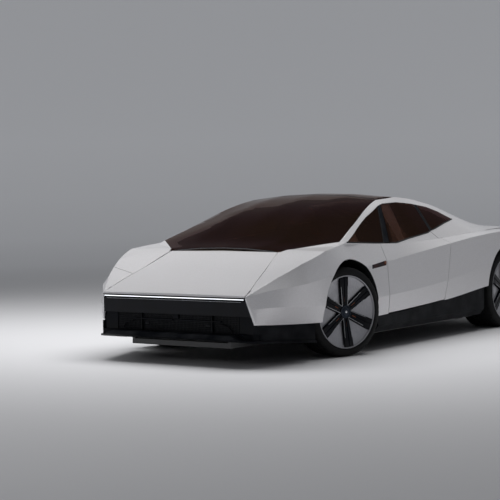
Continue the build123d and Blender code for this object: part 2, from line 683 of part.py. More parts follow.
def make_knuckle():
    """Upright, hub carrier and brake caliper about the wheel centre, +X outwards."""
    with BuildPart() as knuckle:
        with BuildSketch(Plane.XY.offset(-arm_height + seat_gap)):
            Rectangle(36, 60)
        extrude(amount=2 * (arm_height - seat_gap))
        with BuildSketch(Plane.YZ.offset(-55)):
            Circle(44)
        extrude(amount=55 + brake_offset - seat_gap)
        with BuildSketch(Plane.YZ.offset(-18)):
            with Locations((80, 0)):
                Rectangle(160, 70)
        extrude(amount=14)
        with BuildSketch(Plane.XY):
            with BuildLine():
                Polyline((-18, 130), (76, 130), (76, 214), (-18, 214), close=True)
            make_face()
            with BuildLine():
                Polyline((21, 100), (59, 100), (59, 197), (21, 197), close=True)
            make_face(mode=Mode.SUBTRACT)
        revolve(axis=Axis.X, revolution_arc=56)
    return knuckle.part


def arms(track, inner):
    """Both wishbones of a left wheel with their pads on the tub's wall."""
    eye = track / 2
    with BuildPart() as wishbones:
        for height in (tyre_radius - arm_height - arm_thickness, tyre_radius + arm_height):
            with BuildSketch(Plane.XY.offset(height)):
                with Locations((eye, 0)):
                    Circle(eye_radius)
                for reach in (-130, 130):
                    with BuildLine():
                        Polyline((inner + seat_gap, reach - 14), (inner + seat_gap, reach + 14),
                                 (eye, 12), (eye, -12), close=True)
                    make_face()
            extrude(amount=arm_thickness)
        with BuildSketch(Plane.YZ.offset(inner + seat_gap)):
            with Locations((0, tyre_radius)):
                Rectangle(300, 2 * arm_height + 2 * arm_thickness + 20)
        extrude(amount=22)
    return wishbones.part


front_knuckle = make_knuckle()
front_arms = arms(front_track, front_tub).moved(Location((0, at(0), 0)))
save(both_sides(front_arms), "front_subframe")
rear_arms = arms(rear_track, rear_tub).moved(Location((0, at(rear_axle), 0)))
rear_left = turned(front_knuckle, left, rear_axle, rear_track, False)
save(both_sides(joined(rear_arms, rear_left)), "rear_subframe")
save(turned(front_knuckle, left, 0, front_track, True), "knuckle_left")
save(turned(front_knuckle, right, 0, front_track, True), "knuckle_right")
front_set = (make_tyre(front_tyre_width), make_rim(front_tyre_width), 0, front_track, True)
rear_set = (make_tyre(rear_tyre_width), make_rim(rear_tyre_width), rear_axle, rear_track, False)
for axle, (tyre, rim, station, track, steered) in (("front", front_set), ("rear", rear_set)):
    for side_name, side in (("left", left), ("right", right)):
        save(turned(tyre, side, station, track, steered), f"tyre_{axle}_{side_name}")
        save(turned(rim, side, station, track, steered), f"rim_{axle}_{side_name}")
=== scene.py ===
"""Finishes and details of a mid-engined two-seat supercar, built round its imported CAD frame.

Metres, +Z up, nose along -Y, +X the car's left side. CAD nodes keep their shapes and places; the pieces
made here are trims, linings, wheels, lamps and seats that sit on them.
"""
import json
from math import cos, exp, hypot, pi, radians, sin, sqrt
import bmesh
import bpy
from mathutils import Matrix, Vector
from mathutils.bvhtree import BVHTree

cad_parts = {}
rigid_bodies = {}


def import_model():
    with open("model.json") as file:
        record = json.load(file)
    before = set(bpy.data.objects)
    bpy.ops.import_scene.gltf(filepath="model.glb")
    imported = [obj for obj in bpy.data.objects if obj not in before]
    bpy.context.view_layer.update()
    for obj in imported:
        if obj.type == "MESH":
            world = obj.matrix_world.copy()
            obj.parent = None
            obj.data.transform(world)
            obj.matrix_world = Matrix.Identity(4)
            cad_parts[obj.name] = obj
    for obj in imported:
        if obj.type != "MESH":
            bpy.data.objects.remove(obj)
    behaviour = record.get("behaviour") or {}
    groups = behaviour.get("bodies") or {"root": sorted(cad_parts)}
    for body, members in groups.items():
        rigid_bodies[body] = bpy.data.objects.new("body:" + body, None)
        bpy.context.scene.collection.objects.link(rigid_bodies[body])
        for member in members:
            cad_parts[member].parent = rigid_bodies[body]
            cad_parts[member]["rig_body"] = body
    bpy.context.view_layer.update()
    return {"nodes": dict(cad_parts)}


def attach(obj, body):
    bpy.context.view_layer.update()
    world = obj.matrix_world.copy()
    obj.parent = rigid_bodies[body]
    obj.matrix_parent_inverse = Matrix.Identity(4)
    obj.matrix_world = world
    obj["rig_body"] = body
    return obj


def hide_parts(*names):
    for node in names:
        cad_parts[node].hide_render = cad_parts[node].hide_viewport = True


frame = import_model()
cad = frame["nodes"]

# ------------------------------------------------------------------ sizes in metres
front_axle = -1.2675
wheelbase = 2.8
axle_height = 0.358
arch_rise = 0.010  # the wheel wells' centres lie above the wheel centres
rest_steer = radians(17.6)
half_track = {"front": 0.85, "rear": 0.82}
tyre_half = {"front": 0.1325, "rear": 0.1675}
tyre_radius = 0.358
spoke_count = 6
spoke_phase = radians(5)
axle_y = {"front": front_axle, "rear": front_axle + wheelbase}


def at(station):
    """Row-frame y of a distance behind the front axle."""
    return front_axle + station


# ------------------------------------------------------------------ node and colour helpers
def colour(code):
    """Linear colour of an sRGB hex value."""
    parts = [int(code[i:i + 2], 16) / 255 for i in (1, 3, 5)]
    return tuple(p / 12.92 if p <= 0.04045 else ((p + 0.055) / 1.055) ** 2.4 for p in parts) + (1.0,)


def add_node(tree, kind, sockets=(), links=(), **settings):
    """Add a node, set its properties and input values, and link its inputs by name or index."""
    made = tree.nodes.new(kind)
    for name, value in settings.items():
        setattr(made, name, value)
    for key, value in dict(sockets).items():
        made.inputs[key].default_value = value
    for key, source in dict(links).items():
        tree.links.new(source, made.inputs[key])
    return made


def finish(name, base, pattern=None, **sockets):
    """Material on one shader; a pattern function may link its colour, roughness or bump."""
    material = bpy.data.materials.new(name)
    material.use_nodes = True
    tree = material.node_tree
    tree.nodes.clear()
    shader = add_node(tree, "ShaderNodeBsdfPrincipled", {"Base Color": colour(base)})
    for key, value in sockets.items():
        shader.inputs[key.replace("_", " ").title().replace("Ior", "IOR")].default_value = value
    output = add_node(tree, "ShaderNodeOutputMaterial")
    tree.links.new(shader.outputs["BSDF"], output.inputs["Surface"])
    if pattern:
        pattern(tree, shader, base)
    return material


def texture(tree, kind, scale, stretch=(1, 1, 1), **settings):
    """Texture node on the object's own coordinates, with a pattern that many times a metre."""
    source = add_node(tree, "ShaderNodeTexCoord").outputs["Object"]
    mapping = add_node(tree, "ShaderNodeMapping", {"Scale": stretch}, {"Vector": source})
    return add_node(tree, kind, {"Scale": scale}, {"Vector": mapping.outputs["Vector"]}, **settings)


def bump(tree, shader, height, distance, socket="Normal"):
    """Raise the surface by a pattern, distance in metres."""
    made = add_node(tree, "ShaderNodeBump", {"Distance": distance, "Strength": 1.0}, {"Height": height})
    tree.links.new(made.outputs["Normal"], shader.inputs[socket])


def tint(tree, shader, base, other, factor):
    """Vary the base colour towards another by a pattern."""
    made = add_node(tree, "ShaderNodeMix", data_type="RGBA")
    made.inputs["A"].default_value = colour(base)
    made.inputs["B"].default_value = colour(other)
    tree.links.new(factor, made.inputs["Factor"])
    tree.links.new(made.outputs["Result"], shader.inputs["Base Color"])


def ramp(tree, source, low, high, lowest=0.0, highest=1.0):
    """Pattern values between low and high, spread to the given range."""
    made = add_node(tree, "ShaderNodeMapRange", links={"Value": source})
    made.inputs["From Min"].default_value = low
    made.inputs["From Max"].default_value = high
    made.inputs["To Min"].default_value = lowest
    made.inputs["To Max"].default_value = highest
    return made.outputs["Result"]


# ------------------------------------------------------------------ finishes
noise = ("ShaderNodeTexNoise", "Fac")
cells = ("ShaderNodeTexVoronoi", "Distance")


def grained(other, tone, tone_scale, low, high, relief=None, relief_scale=0, depth=0, socket="Normal"):
    """Pattern function: one texture tones the colour towards another, a second raises the surface."""
    def pattern(tree, shader, base):
        toned = texture(tree, tone[0], tone_scale).outputs[tone[1]]
        tint(tree, shader, base, other, ramp(tree, toned, low, high))
        if relief:
            shared = (relief, relief_scale) == (tone, tone_scale)
            raised = toned if shared else texture(tree, relief[0], relief_scale).outputs[relief[1]]
            bump(tree, shader, raised, depth, socket)
    return pattern


def brushed(tree, shader, base):
    """Fine lines along the car, towards four fifths of the base colour."""
    other = "#" + "".join(f"{int(int(base[i:i + 2], 16) * 0.8):02X}" for i in (1, 3, 5))
    lines = texture(tree, "ShaderNodeTexNoise", 40, stretch=(60, 1, 1))
    tint(tree, shader, base, other, ramp(tree, lines.outputs["Fac"], 0.3, 0.8))
    bump(tree, shader, lines.outputs["Fac"], 0.00004)


def woven(tree, shader, base):
    """Squares of a plain weave."""
    threads = texture(tree, "ShaderNodeTexChecker", 160)
    tint(tree, shader, base, "#25272B", threads.outputs["Fac"])
    bump(tree, shader, threads.outputs["Fac"], 0.0002)


def ribbed_lens(tree, shader, base):
    """Upright flutes of a lamp cover."""
    ribs = texture(tree, "ShaderNodeTexWave", 40, bands_direction="X")
    bump(tree, shader, ribs.outputs["Fac"], 0.0006)


# other colour, tone and its scale a metre, its low and high, relief and its scale a metre, depth in metres
pearl = grained("#E4E3E6", cells, 260, 0.1, 0.9, noise, 70, 0.00005, "Coat Normal")
polished = grained("#0A0D16", noise, 9, 0.35, 0.7, noise, 60, 0.00005, "Coat Normal")
cast = grained("#3C3D40", noise, 350, 0.3, 0.8, noise, 350, 0.0004)
moulded = grained("#26272A", noise, 6, 0.35, 0.8, cells, 700, 0.0003)
hide = grained("#4A372D", noise, 14, 0.35, 0.75, cells, 420, 0.0005)
nap = grained("#3B3230", noise, 900, 0.3, 0.8, noise, 900, 0.0004)
tufts = grained("#2E2B2B", cells, 260, 0.1, 0.8, cells, 260, 0.0012)
rubber_grain = grained("#151516", noise, 500, 0.35, 0.75, noise, 500, 0.0003)
toned_glass = grained("#725D51", noise, 1.5, 0.3, 0.8)

# Pearl clearcoat over a silver base: a soft light body colour with a sharp gloss on top.
pearl_paint = finish("pearl_silver_clearcoat", "#CFCDCD", pearl, metallic=0.45, roughness=0.34,
                     coat_weight=0.7, coat_roughness=0.05)
# Polished blue-black acrylic: nearly black with a cool gloss.
piano_black = finish("polished_blue_black_acrylic", "#04060B", polished, roughness=0.24,
                     specular_ior_level=0.10, coat_weight=0.10, coat_roughness=0.05)
# Satin blue-black paint on the splitter and sills: dark, with a broad faint sheen.
satin_black = finish("satin_blue_black_paint", "#04060B", moulded, roughness=0.45, specular_ior_level=0.06)
# Bronze solar glass: warm dark tint with a clear gloss.
bronze_glass = finish("bronze_solar_glass", "#67534A", toned_glass, roughness=0.0, ior=1.15, metallic=0.35,
                      transmission_weight=1.0, specular_tint=colour("#B98468"))
# Printed ceramic band at a glass edge: satin black.
ceramic_band = finish("fired_ceramic_band", "#0A0A0B", moulded, roughness=0.35, specular_ior_level=0.25)
# Extruded rubber: matt black seal.
seal_rubber = finish("extruded_seal_rubber", "#0B0B0C", rubber_grain, roughness=0.62)
# Moulded tyre rubber: dark grey with a soft sheen.
tyre_rubber = finish("moulded_tyre_rubber", "#0B0B0C", rubber_grain, roughness=0.72, specular_ior_level=0.25)
# Machined aluminium: bright turned edges.
machined = finish("machined_aluminium", "#D8DADD", brushed, metallic=1.0, roughness=0.22)
# Satin silver lacquer on the wheels' flat panels: pale metal with a soft gloss.
satin_silver = finish("satin_silver_lacquer", "#A9A9AE", brushed, metallic=0.55, roughness=0.34,
                      coat_weight=0.6, coat_roughness=0.12)
# Anodised copper: warm metal accents.
copper = finish("anodised_copper", "#8A5238", brushed, metallic=0.9, roughness=0.34)
# Cast iron and coated steel of the running gear: dark, with a sandy grain.
cast_metal = finish("cast_coated_iron", "#2A2B2E", cast, metallic=0.7, roughness=0.55)
# Forged aluminium of arms and fittings: dull grey metal.
forged = finish("forged_aluminium", "#8E9094", cast, metallic=1.0, roughness=0.38)
# Moulded polypropylene of liners and undertray: matt black with a fine grain.
liner_black = finish("moulded_polypropylene", "#131416", moulded, roughness=0.6)
# Woven carbon under satin lacquer; the weave is drawn at 6 mm so that it shows.
carbon = finish("satin_carbon_weave", "#101114", woven, roughness=0.38, coat_weight=0.5, coat_roughness=0.2)
# Semi-aniline hide on the seats: dark brown with a fine grain.
leather = finish("brown_aniline_leather", "#33251E", hide, roughness=0.5, coat_weight=0.1, coat_roughness=0.4)
# Suede on the dash, roof pillars and door cards: dark brown and matt, with a nap.
suede = finish("dark_suede", "#241D1B", nap, roughness=0.9, sheen_weight=0.08, sheen_roughness=0.5)
# Dark red-brown lens of the side markers.
marker_lens = finish("dark_marker_lens", "#38150E", polished, roughness=0.25, specular_ior_level=0.2)
# Painted sheet of the blank plate: pale and satin.
plate_face = finish("blank_painted_sheet", "#C9CAC8", None, roughness=0.4)
# Anodised cap in the middle of the wheel: blue-grey metal.
cap_metal = finish("blue_grey_anodised_cap", "#262E39", brushed, metallic=0.7, roughness=0.35)
# Clear lamp cover with light behind it.
lamp_glow = finish("clear_lamp_lens_lit", "#F4F6F8", ribbed_lens, roughness=0.15, coat_weight=1.0,
                   emission_color=colour("#F6FAFF"), emission_strength=1.6)
# Red lamp cover, faintly lit; the rear reflectors wear it too, and on them the glow is painted light.
tail_glow = finish("red_lamp_lens_lit", "#8C0D10", ribbed_lens, roughness=0.2, coat_weight=1.0,
                   emission_color=colour("#C41216"), emission_strength=0.5)
# Satin lacquered composite of seat shells and switch frames: smooth and dark grey.
satin_shell = finish("satin_lacquered_shell", "#1A1B1E", moulded, roughness=0.4)
# Waxed sewing thread in copper brown.
thread = finish("waxed_sewing_thread", "#8A5B40", nap, roughness=0.7)
# Tufted carpet: dark, deep and matt.
carpet = finish("tufted_wool_carpet", "#1C1A1A", tufts, roughness=0.95, sheen_weight=0.3, sheen_roughness=0.6)
# Woven polyester belt webbing: black, with a visible weave.
webbing = finish("polyester_belt_webbing", "#17171A", woven, roughness=0.75)
# Smoked display glass: nearly black, with a sharp gloss.
display = finish("smoked_display_glass", "#0A0C10", polished, roughness=0.06, coat_weight=1.0)


def dress(material, *names):
    """Give CAD nodes a finish."""
    for name in names:
        for entry in cad[name].material_slots:
            entry.material = material


dress(pearl_paint, "bonnet", "wing_left", "wing_right", "door_left", "door_right", "quarter_panel_left",
      "quarter_panel_right", "roof_frame_left", "roof_frame_right", "tail_lid", "tail_panel")
dress(piano_black, "bumper", "intake_grille", "tail_grille", "light_bar")
dress(satin_black, "splitter", "sills", "window_pillars")
dress(carbon, "diffuser", "floor_pan")
dress(bronze_glass, "windscreen", "roof_glass", "quarter_glass", "door_glass_left", "door_glass_right",
      "tail_window")
dress(tail_glow, "tail_light")
dress(marker_lens, "side_markers")
dress(suede, "dashboard", "seats")
dress(liner_black, "steering_wheel")
dress(cast_metal, "power_unit", "knuckle_left", "knuckle_right")
dress(forged, "front_subframe", "rear_subframe")


# ------------------------------------------------------------------ mesh helpers
def linked(name, data):
    """Object of some data, in the scene."""
    made = bpy.data.objects.new(name, data)
    bpy.context.scene.collection.objects.link(made)
    return made


def piece(name, mesh, body, slot, *materials):
    """Object of a finished mesh that rides on a body."""
    made = linked(name, mesh)
    for material in materials:
        mesh.materials.append(material)
    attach(made, body)
    return made


def mesh_of(shape, name, smooth=radians(35)):
    """Mesh data of a bmesh, shaded smooth up to an angle."""
    mesh = bpy.data.meshes.new(name)
    shape.to_mesh(mesh)
    shape.free()
    for face in mesh.polygons:
        face.use_smooth = True
    mesh.set_sharp_from_angle(angle=smooth)
    return mesh


def merged(node_name):
    """Editable copy of a CAD node's mesh with its loose corners merged."""
    shape = bmesh.new()
    shape.from_mesh(cad[node_name].data)
    bmesh.ops.remove_doubles(shape, verts=shape.verts, dist=1e-5)
    return shape


def keep_faces(shape, wanted):
    """Leave only the faces that a test picks."""
    shape.normal_update()
    unwanted = [face for face in shape.faces if not wanted(face.calc_center_median(), face.normal)]
    bmesh.ops.delete(shape, geom=unwanted, context="FACES")


def thicken(shape, wall):
    """Turn an open skin into a shell that stands out by its wall."""
    shape.normal_update()
    bmesh.ops.solidify(shape, geom=list(shape.faces) + list(shape.edges) + list(shape.verts), thickness=-wall)
    bmesh.ops.recalc_face_normals(shape, faces=shape.faces)


def lining(name, node_name, wanted, material, slot, wall=0.0015):
    """Thin cover over the faces of a CAD node that a test picks."""
    shape = merged(node_name)
    keep_faces(shape, wanted)
    thicken(shape, wall)
    return piece(name, mesh_of(shape, name), cad[node_name]["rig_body"], slot, material)


def edge_band(name, node_name, wanted, width, material, slot, wall=0.0004):
    """Raised band along the rim of the faces of a CAD node that a test picks."""
    shape = merged(node_name)
    keep_faces(shape, wanted)
    inside = bmesh.ops.inset_region(shape, faces=shape.faces, thickness=width, depth=0.0,
                                    use_boundary=True, use_even_offset=True)
    band = set(inside["faces"])
    bmesh.ops.delete(shape, geom=[face for face in shape.faces if face not in band], context="FACES")
    thicken(shape, wall)
    return piece(name, mesh_of(shape, name), cad[node_name]["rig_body"], slot, material)


def sign(x):
    """Side of the car that a place across it lies on."""
    return 1 if x > 0 else -1


def bridge(shape, rings, round_trip=True, strip=0):
    """Quads between neighbouring rings of corners; strip is a finish, or one for each gap."""
    made = []
    for j, (first, second) in enumerate(zip(rings, rings[1:])):
        count = len(first)
        for i in range(count if round_trip else count - 1):
            k = (i + 1) % count
            face = shape.faces.new((first[i], first[k], second[k], second[i]))
            face.material_index = strip[j] if isinstance(strip, (list, tuple)) else strip
            made.append(face)
    return made


def cap_ends(shape, rings, strip=0):
    """Close the first and last ring of a bridge."""
    for corners in (rings[0][::-1], rings[-1]):
        shape.faces.new(corners).material_index = strip


def circle(count):
    """Cosine and sine of evenly spaced angles."""
    return [(cos(2 * pi * i / count), sin(2 * pi * i / count)) for i in range(count)]


def path(*points, side=1):
    """Row-frame points of (across, station, height) points; side -1 gives the other side of the car."""
    return [(side * x, at(station), z) for x, station, z in points]


def add_block(shape, xs, stations, heights, bevel, segments=2, side=1, strip=0, tilt=0.0):
    """Box with rounded edges between two places across, along and up the car, tilted about its middle."""
    low, high = map(Vector, zip(sorted(side * x for x in xs), map(at, stations), heights))
    place = Matrix.Translation((low + high) / 2) @ Matrix.Rotation(tilt, 4, "X")
    verts = bmesh.ops.create_cube(shape, size=1, matrix=place @ Matrix.Diagonal((*(high - low), 1)))["verts"]
    for face in {face for vert in verts for face in vert.link_faces}:
        face.material_index = strip
    edges = {edge for vert in verts for edge in vert.link_edges}
    bmesh.ops.bevel(shape, geom=list(edges), offset=bevel, segments=segments, profile=0.5, affect="EDGES",
                    clamp_overlap=True, material=-1)


def about(middle, half):
    """Both ends of a span about its middle."""
    return middle - half, middle + half


def sweep(shape, points, section, closed=False, up=(0, 0, 1), strip=0):
    """Run a closed section of (side, up) offsets along a line of points."""
    points, lead = [Vector(point) for point in points], Vector(up)
    last = len(points) - 1
    rings = []
    for i, point in enumerate(points):
        ahead = points[(i + 1) % len(points)] if closed or i < last else point
        behind = points[i - 1] if closed or i else point
        forward = (ahead - behind).normalized()
        side = forward.cross(lead).normalized()
        rise = side.cross(forward).normalized()
        rings.append([shape.verts.new(point + side * a + rise * b) for a, b in section])
    bridge(shape, rings + rings[:1] if closed else rings, strip=strip)
    if not closed:
        cap_ends(shape, rings, strip)


def ring(radius, count, squash=1.0):
    """Round or oval section for a sweep."""
    return [(radius * a, squash * radius * b) for a, b in circle(count)]


def flat_bar(width, height):
    """Rectangular section with eased corners for a sweep."""
    a, b, ease = width / 2, height / 2, min(width, height) * 0.25
    return [(a, -b + ease), (a, b - ease), (a - ease, b), (-a + ease, b), (-a, b - ease), (-a, -b + ease),
            (-a + ease, -b), (a - ease, -b)]


def solid(name, shape, body, slot, *materials, smooth=radians(35)):
    """Finished piece of a bmesh, its doubles merged and every face turned outwards."""
    bmesh.ops.remove_doubles(shape, verts=shape.verts, dist=1e-6)
    bmesh.ops.recalc_face_normals(shape, faces=shape.faces)
    return piece(name, mesh_of(shape, name, smooth), body, slot, *materials)


def loops_of(shape):
    """Ordered corner places of each open edge loop."""
    links = {}
    for edge in shape.edges:
        if len(edge.link_faces) == 1:
            for a, b in (edge.verts, reversed(edge.verts)):
                links.setdefault(a, []).append(b)
    loops = []
    while links:
        first = next(iter(links))
        line, last, here = [first], None, first
        while True:
            onward = [vert for vert in links.pop(here) if vert is not last and (vert in links or vert is first)]
            if not onward or onward[0] is first:
                break
            last, here = here, onward[0]
            line.append(here)
        if len(line) > 6:
            loops.append([vert.co.copy() for vert in line])
    return loops


def surface(*node_names):
    """Ray-cast tree of CAD nodes at rest."""
    corners, faces = [], []
    for name in node_names:
        mesh = cad[name].data
        start = len(corners)
        corners += [vert.co.copy() for vert in mesh.vertices]
        faces += [[start + i for i in face.vertices] for face in mesh.polygons]
    return BVHTree.FromPolygons(corners, faces)


def drop(tree, point, direction):
    """Where a ray from a point meets a surface, with the surface's direction there."""
    place, normal, _, _ = tree.ray_cast(Vector(point), Vector(direction))
    if place is None:
        return None, None
    return place, -normal if normal.dot(Vector(direction)) > 0 else normal


# ------------------------------------------------------------------ camera, floor and lights
camera_place = (7.578, -12.017, 1.4175)
camera_azimuth, camera_pitch, camera_roll = radians(35.14), radians(2.519), radians(-1.012)
camera_lens, camera_sensor = 114.03, 36  # millimetres
backdrop_sides = 96
backdrop_profile = [(14.0, 0.0), (18.0, 0.35), (20.5, 1.2), (22.5, 2.8), (23.6, 5.0), (24.0, 8.0),
                    (24.0, 11.0)]  # radius, height
glow_reach = (5, 22)  # the backdrop's glow grows between these distances
glow_most = 0.5


def make_camera():
    """Camera by its place, azimuth, pitch and roll."""
    forward = Vector((-sin(camera_azimuth) * cos(camera_pitch), cos(camera_azimuth) * cos(camera_pitch),
                      -sin(camera_pitch)))
    level = Vector((cos(camera_azimuth), sin(camera_azimuth), 0))
    upright = level.cross(forward)
    across = level * cos(camera_roll) + upright * sin(camera_roll)
    up = upright * cos(camera_roll) - level * sin(camera_roll)
    camera = linked("camera", bpy.data.cameras.new("camera"))
    camera.data.lens = camera_lens
    camera.data.sensor_width = camera_sensor
    turned = Matrix((across, up, -forward)).transposed().to_4x4()
    camera.matrix_world = Matrix.Translation(camera_place) @ turned
    bpy.context.scene.camera = camera


def distant_glow(tree, shader, base):
    """Lift the backdrop to its own pale colour away from the car, where it is seen or mirrored."""
    place = add_node(tree, "ShaderNodeTexCoord").outputs["Object"]
    reach = add_node(tree, "ShaderNodeVectorMath", links={0: place}, operation="LENGTH").outputs["Value"]
    rays = add_node(tree, "ShaderNodeLightPath").outputs
    value = rays["Is Camera Ray"]
    for other, operation in ((rays["Is Glossy Ray"], "MAXIMUM"), (rays["Is Transmission Ray"], "MAXIMUM"),
                             (ramp(tree, reach, *glow_reach, 0.0, glow_most), "MULTIPLY")):
        value = add_node(tree, "ShaderNodeMath", links={0: value, 1: other}, operation=operation).outputs[0]
    tree.links.new(value, shader.inputs["Emission Strength"])


def make_backdrop():
    """Floor that curves up into a wall all round."""
    shape = bmesh.new()
    middle = shape.verts.new((0, 0, 0))
    rings = [[shape.verts.new((reach * a, reach * b, z)) for a, b in circle(backdrop_sides)]
             for reach, z in backdrop_profile]
    for i, corner in enumerate(rings[0]):
        shape.faces.new((middle, corner, rings[0][(i + 1) % backdrop_sides]))
    bridge(shape, rings[::-1])
    backdrop = linked("backdrop", mesh_of(shape, "backdrop", pi))
    backdrop.data.materials.append(finish("studio_floor", "#C2C2C4", distant_glow, roughness=0.6,
                                          specular_ior_level=0.2, emission_color=colour("#AEB0B4")))


def soft_lamp(name, place, aim, size, power):
    """Area lamp at a place, aimed at a point; gloss doesn't show it."""
    lamp = bpy.data.lights.new(name, "AREA")
    lamp.shape = "RECTANGLE"
    lamp.size, lamp.size_y = size
    lamp.energy = power
    holder = linked(name, lamp)
    holder.location = place
    holder.visible_glossy = False
    holder.rotation_euler = (Vector(aim) - Vector(place)).to_track_quat("-Z", "Y").to_euler()


def make_world():
    """Even pale light from all round."""
    world = bpy.data.worlds.new("studio")
    bpy.context.scene.world = world
    world.use_nodes = True
    tree = world.node_tree
    tree.nodes.clear()
    light = add_node(tree, "ShaderNodeBackground", {"Color": colour("#B6B8BC"), "Strength": 0.34})
    output = add_node(tree, "ShaderNodeOutputWorld")
    tree.links.new(light.outputs["Background"], output.inputs["Surface"])


make_camera()
make_backdrop()
make_world()
soft_lamp("overhead", (-0.6, -0.6, 4.8), (0, -0.3, 0), (3.0, 7.0), 450)
soft_lamp("nose_side", (1.0, -8.0, 3.4), (0, -1.8, 0.5), (3.6, 2.0), 28)
soft_lamp("far_side", (-6.0, -1.0, 3.0), (0, 0, 0.6), (5.0, 2.0), 50)
soft_lamp("tail_side", (3.0, 7.5, 3.4), (0, 1.8, 0.5), (3.6, 2.0), 60)
bpy.context.scene.view_settings.view_transform = "Standard"

# ------------------------------------------------------------------ wheels
sides = ((1, "left"), (-1, "right"))
# Tyre half profile from the bead to the middle of the tread: inset from the side, radius.
tyre_side = [(0.017, 0.2925), (0.011, 0.2935), (0.0065, 0.2965), (0.0045, 0.2995), (0.0030, 0.3025),
             (0.0008, 0.3060), (0.0, 0.3120), (0.0010, 0.3150), (0.0022, 0.3200), (0.0040, 0.3270),
             (0.0062, 0.3345), (0.0095, 0.3420), (0.0140, 0.3480), (0.0195, 0.3525), (0.0265, 0.3555)]
shoulder_inset = tyre_side[-1][0]
bead_radius = tyre_side[0][1]
groove_centres = {"front": (0.72, 0.27), "rear": (0.82, 0.55, 0.2)}  # share of the half tread
groove_profile = ((0.0065, 0.3575), (0.0045, 0.3515), (-0.0045, 0.3515), (-0.0065, 0.3577))
tread_count = 168  # corners round the tyre
cut_every = 6  # one corner in so many is cut
shoulder_cut, tread_cut = 0.0045, 0.0022
spoke_radii = [0.046, 0.060, 0.080, 0.120, 0.160, 0.205, 0.225, 0.262, 0.2765]
spoke_reach = 0.2805
insert_span = (0.07, 0.11)  # where the copper insert shows along a spoke
edge_end = 0.17  # the machined edges of a spoke fade out here
# Profiles of the wheel: inset from the outer side (barrel_back: from the inner side; disc: along the axle),
# radius; then each strip's finish.
barrel = [(0.0040, 0.2915), (0.0030, 0.2890), (0.0045, 0.2845), (0.012, 0.2825), (0.016, 0.2790),
          (0.030, 0.2770), (0.052, 0.2745)]
barrel_back = [(0.03, 0.274), (0.004, 0.2800), (0.001, 0.2860), (0.001, 0.2915)]
barrel_strips = [3] * 6 + [5] * 6
panel = [(0.050, 0.040), (0.040, 0.100), (0.030, 0.200), (0.0235, 0.262), (0.0190, 0.2690), (0.0165, 0.2785),
         (0.030, 0.2785), (0.060, 0.100), (0.064, 0.040)]
hub = [(0.048, 0.056), (0.0200, 0.055), (0.0165, 0.051), (0.0165, 0.044), (0.0195, 0.0425), (0.0195, 0.034),
       (0.0160, 0.032), (0.0145, 0.026), (0.0150, 0.012), (0.0130, 0.0100), (0.0126, 0.0080),
       (0.0124, 0.0005), (0.048, 0.0005)]
hub_strips = [0, 0, 4, 0, 4, 4, 4, 4, 4, 1, 1, 0, 0]
disc = [(0.028, 0.06), (0.028, 0.19), (0.036, 0.19), (0.036, 0.10), (0.044, 0.10), (0.044, 0.19),
        (0.052, 0.19), (0.052, 0.06)]


def turn_profile(shape, profile, count, strip, cut=lambda j, i: 0.0):
    """Revolve a closed profile of (along axle, radius) points; cut pulls a corner in by its place."""
    rings = []
    for j, (x, r) in enumerate(profile):
        rings.append([shape.verts.new((x, (r - cut(j, i)) * a, (r - cut(j, i)) * b))
                      for i, (a, b) in enumerate(circle(count))])
    bridge(shape, rings + rings[:1], strip=strip)


def placed(shape, axle, side):
    """Move a wheel made about the origin, +X outwards, to its axle and side."""
    if side < 0:
        bmesh.ops.scale(shape, vec=(-1, 1, 1), verts=shape.verts)
    if axle == "front":
        bmesh.ops.rotate(shape, matrix=Matrix.Rotation(-rest_steer, 3, "Z"), verts=shape.verts)
    bmesh.ops.translate(shape, vec=(side * half_track[axle], axle_y[axle], axle_height), verts=shape.verts)
    bmesh.ops.recalc_face_normals(shape, faces=shape.faces)


def wheel_piece(kind, prefix, shape, axle, side_name, smooth, slot, *materials):
    """Piece that stands for a wheel's tyre or rim."""
    name = f"{kind}_{axle}_{side_name}"
    made = piece(f"{prefix}_{name}", mesh_of(shape, f"{prefix}_{name}", smooth), f"wheel_{axle}_{side_name}",
                 slot, *materials)
    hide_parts(name)


def make_tyre(axle, side, side_name):
    """Tyre with grooves round the tread and cuts across it."""
    half = tyre_half[axle]
    crown = half - shoulder_inset
    outer = [(half - inset, r) for inset, r in tyre_side] + [(crown * 0.98, 0.3558)]
    outer += [(crown * share + shift, r) for share in groove_centres[axle] for shift, r in groove_profile]
    profile = outer + [(0.0, tyre_radius)] + [(-x, r) for x, r in reversed(outer)]
    profile += [(-half + 0.02, bead_radius), (half - 0.02, bead_radius)]
    crown_row = len(tyre_side)

    def cut(j, i):
        row_number = min(j, len(outer) * 2 - j)
        if j > len(outer) * 2:
            return 0.0
        if crown_row - 3 <= row_number <= crown_row + 1:
            return shoulder_cut if i % cut_every == 0 else 0.0
        on_rib = row_number > crown_row + 4 and profile[j][1] > 0.357
        return tread_cut if on_rib and (i + row_number) % cut_every == 3 else 0.0

    shape = bmesh.new()
    turn_profile(shape, profile, tread_count, 0, cut)
    placed(shape, axle, side)
    wheel_piece("tyre", "tread", shape, axle, side_name, radians(32), "tyre", tyre_rubber)


def spoke_section(width, top, base, groove=0.0024):
    """Half-open cross-section of a spoke: (across, along the axle, finish of the strip that follows)."""
    half, low = width / 2, top - 0.0020
    rising = [(half + 0.004, base), (half - 0.001, top - 0.0035), (half - 0.0050, top), (half - 0.0072, top),
              (half - 0.0098, low), (groove + 0.002, low), (groove, top - 0.007)]
    places = [(-across, x) for across, x in rising] + rising[::-1]
    strips = {2: 1, 6: 2, 10: 1}
    return [(across, x, strips.get(i, 0)) for i, (across, x) in enumerate(places)]


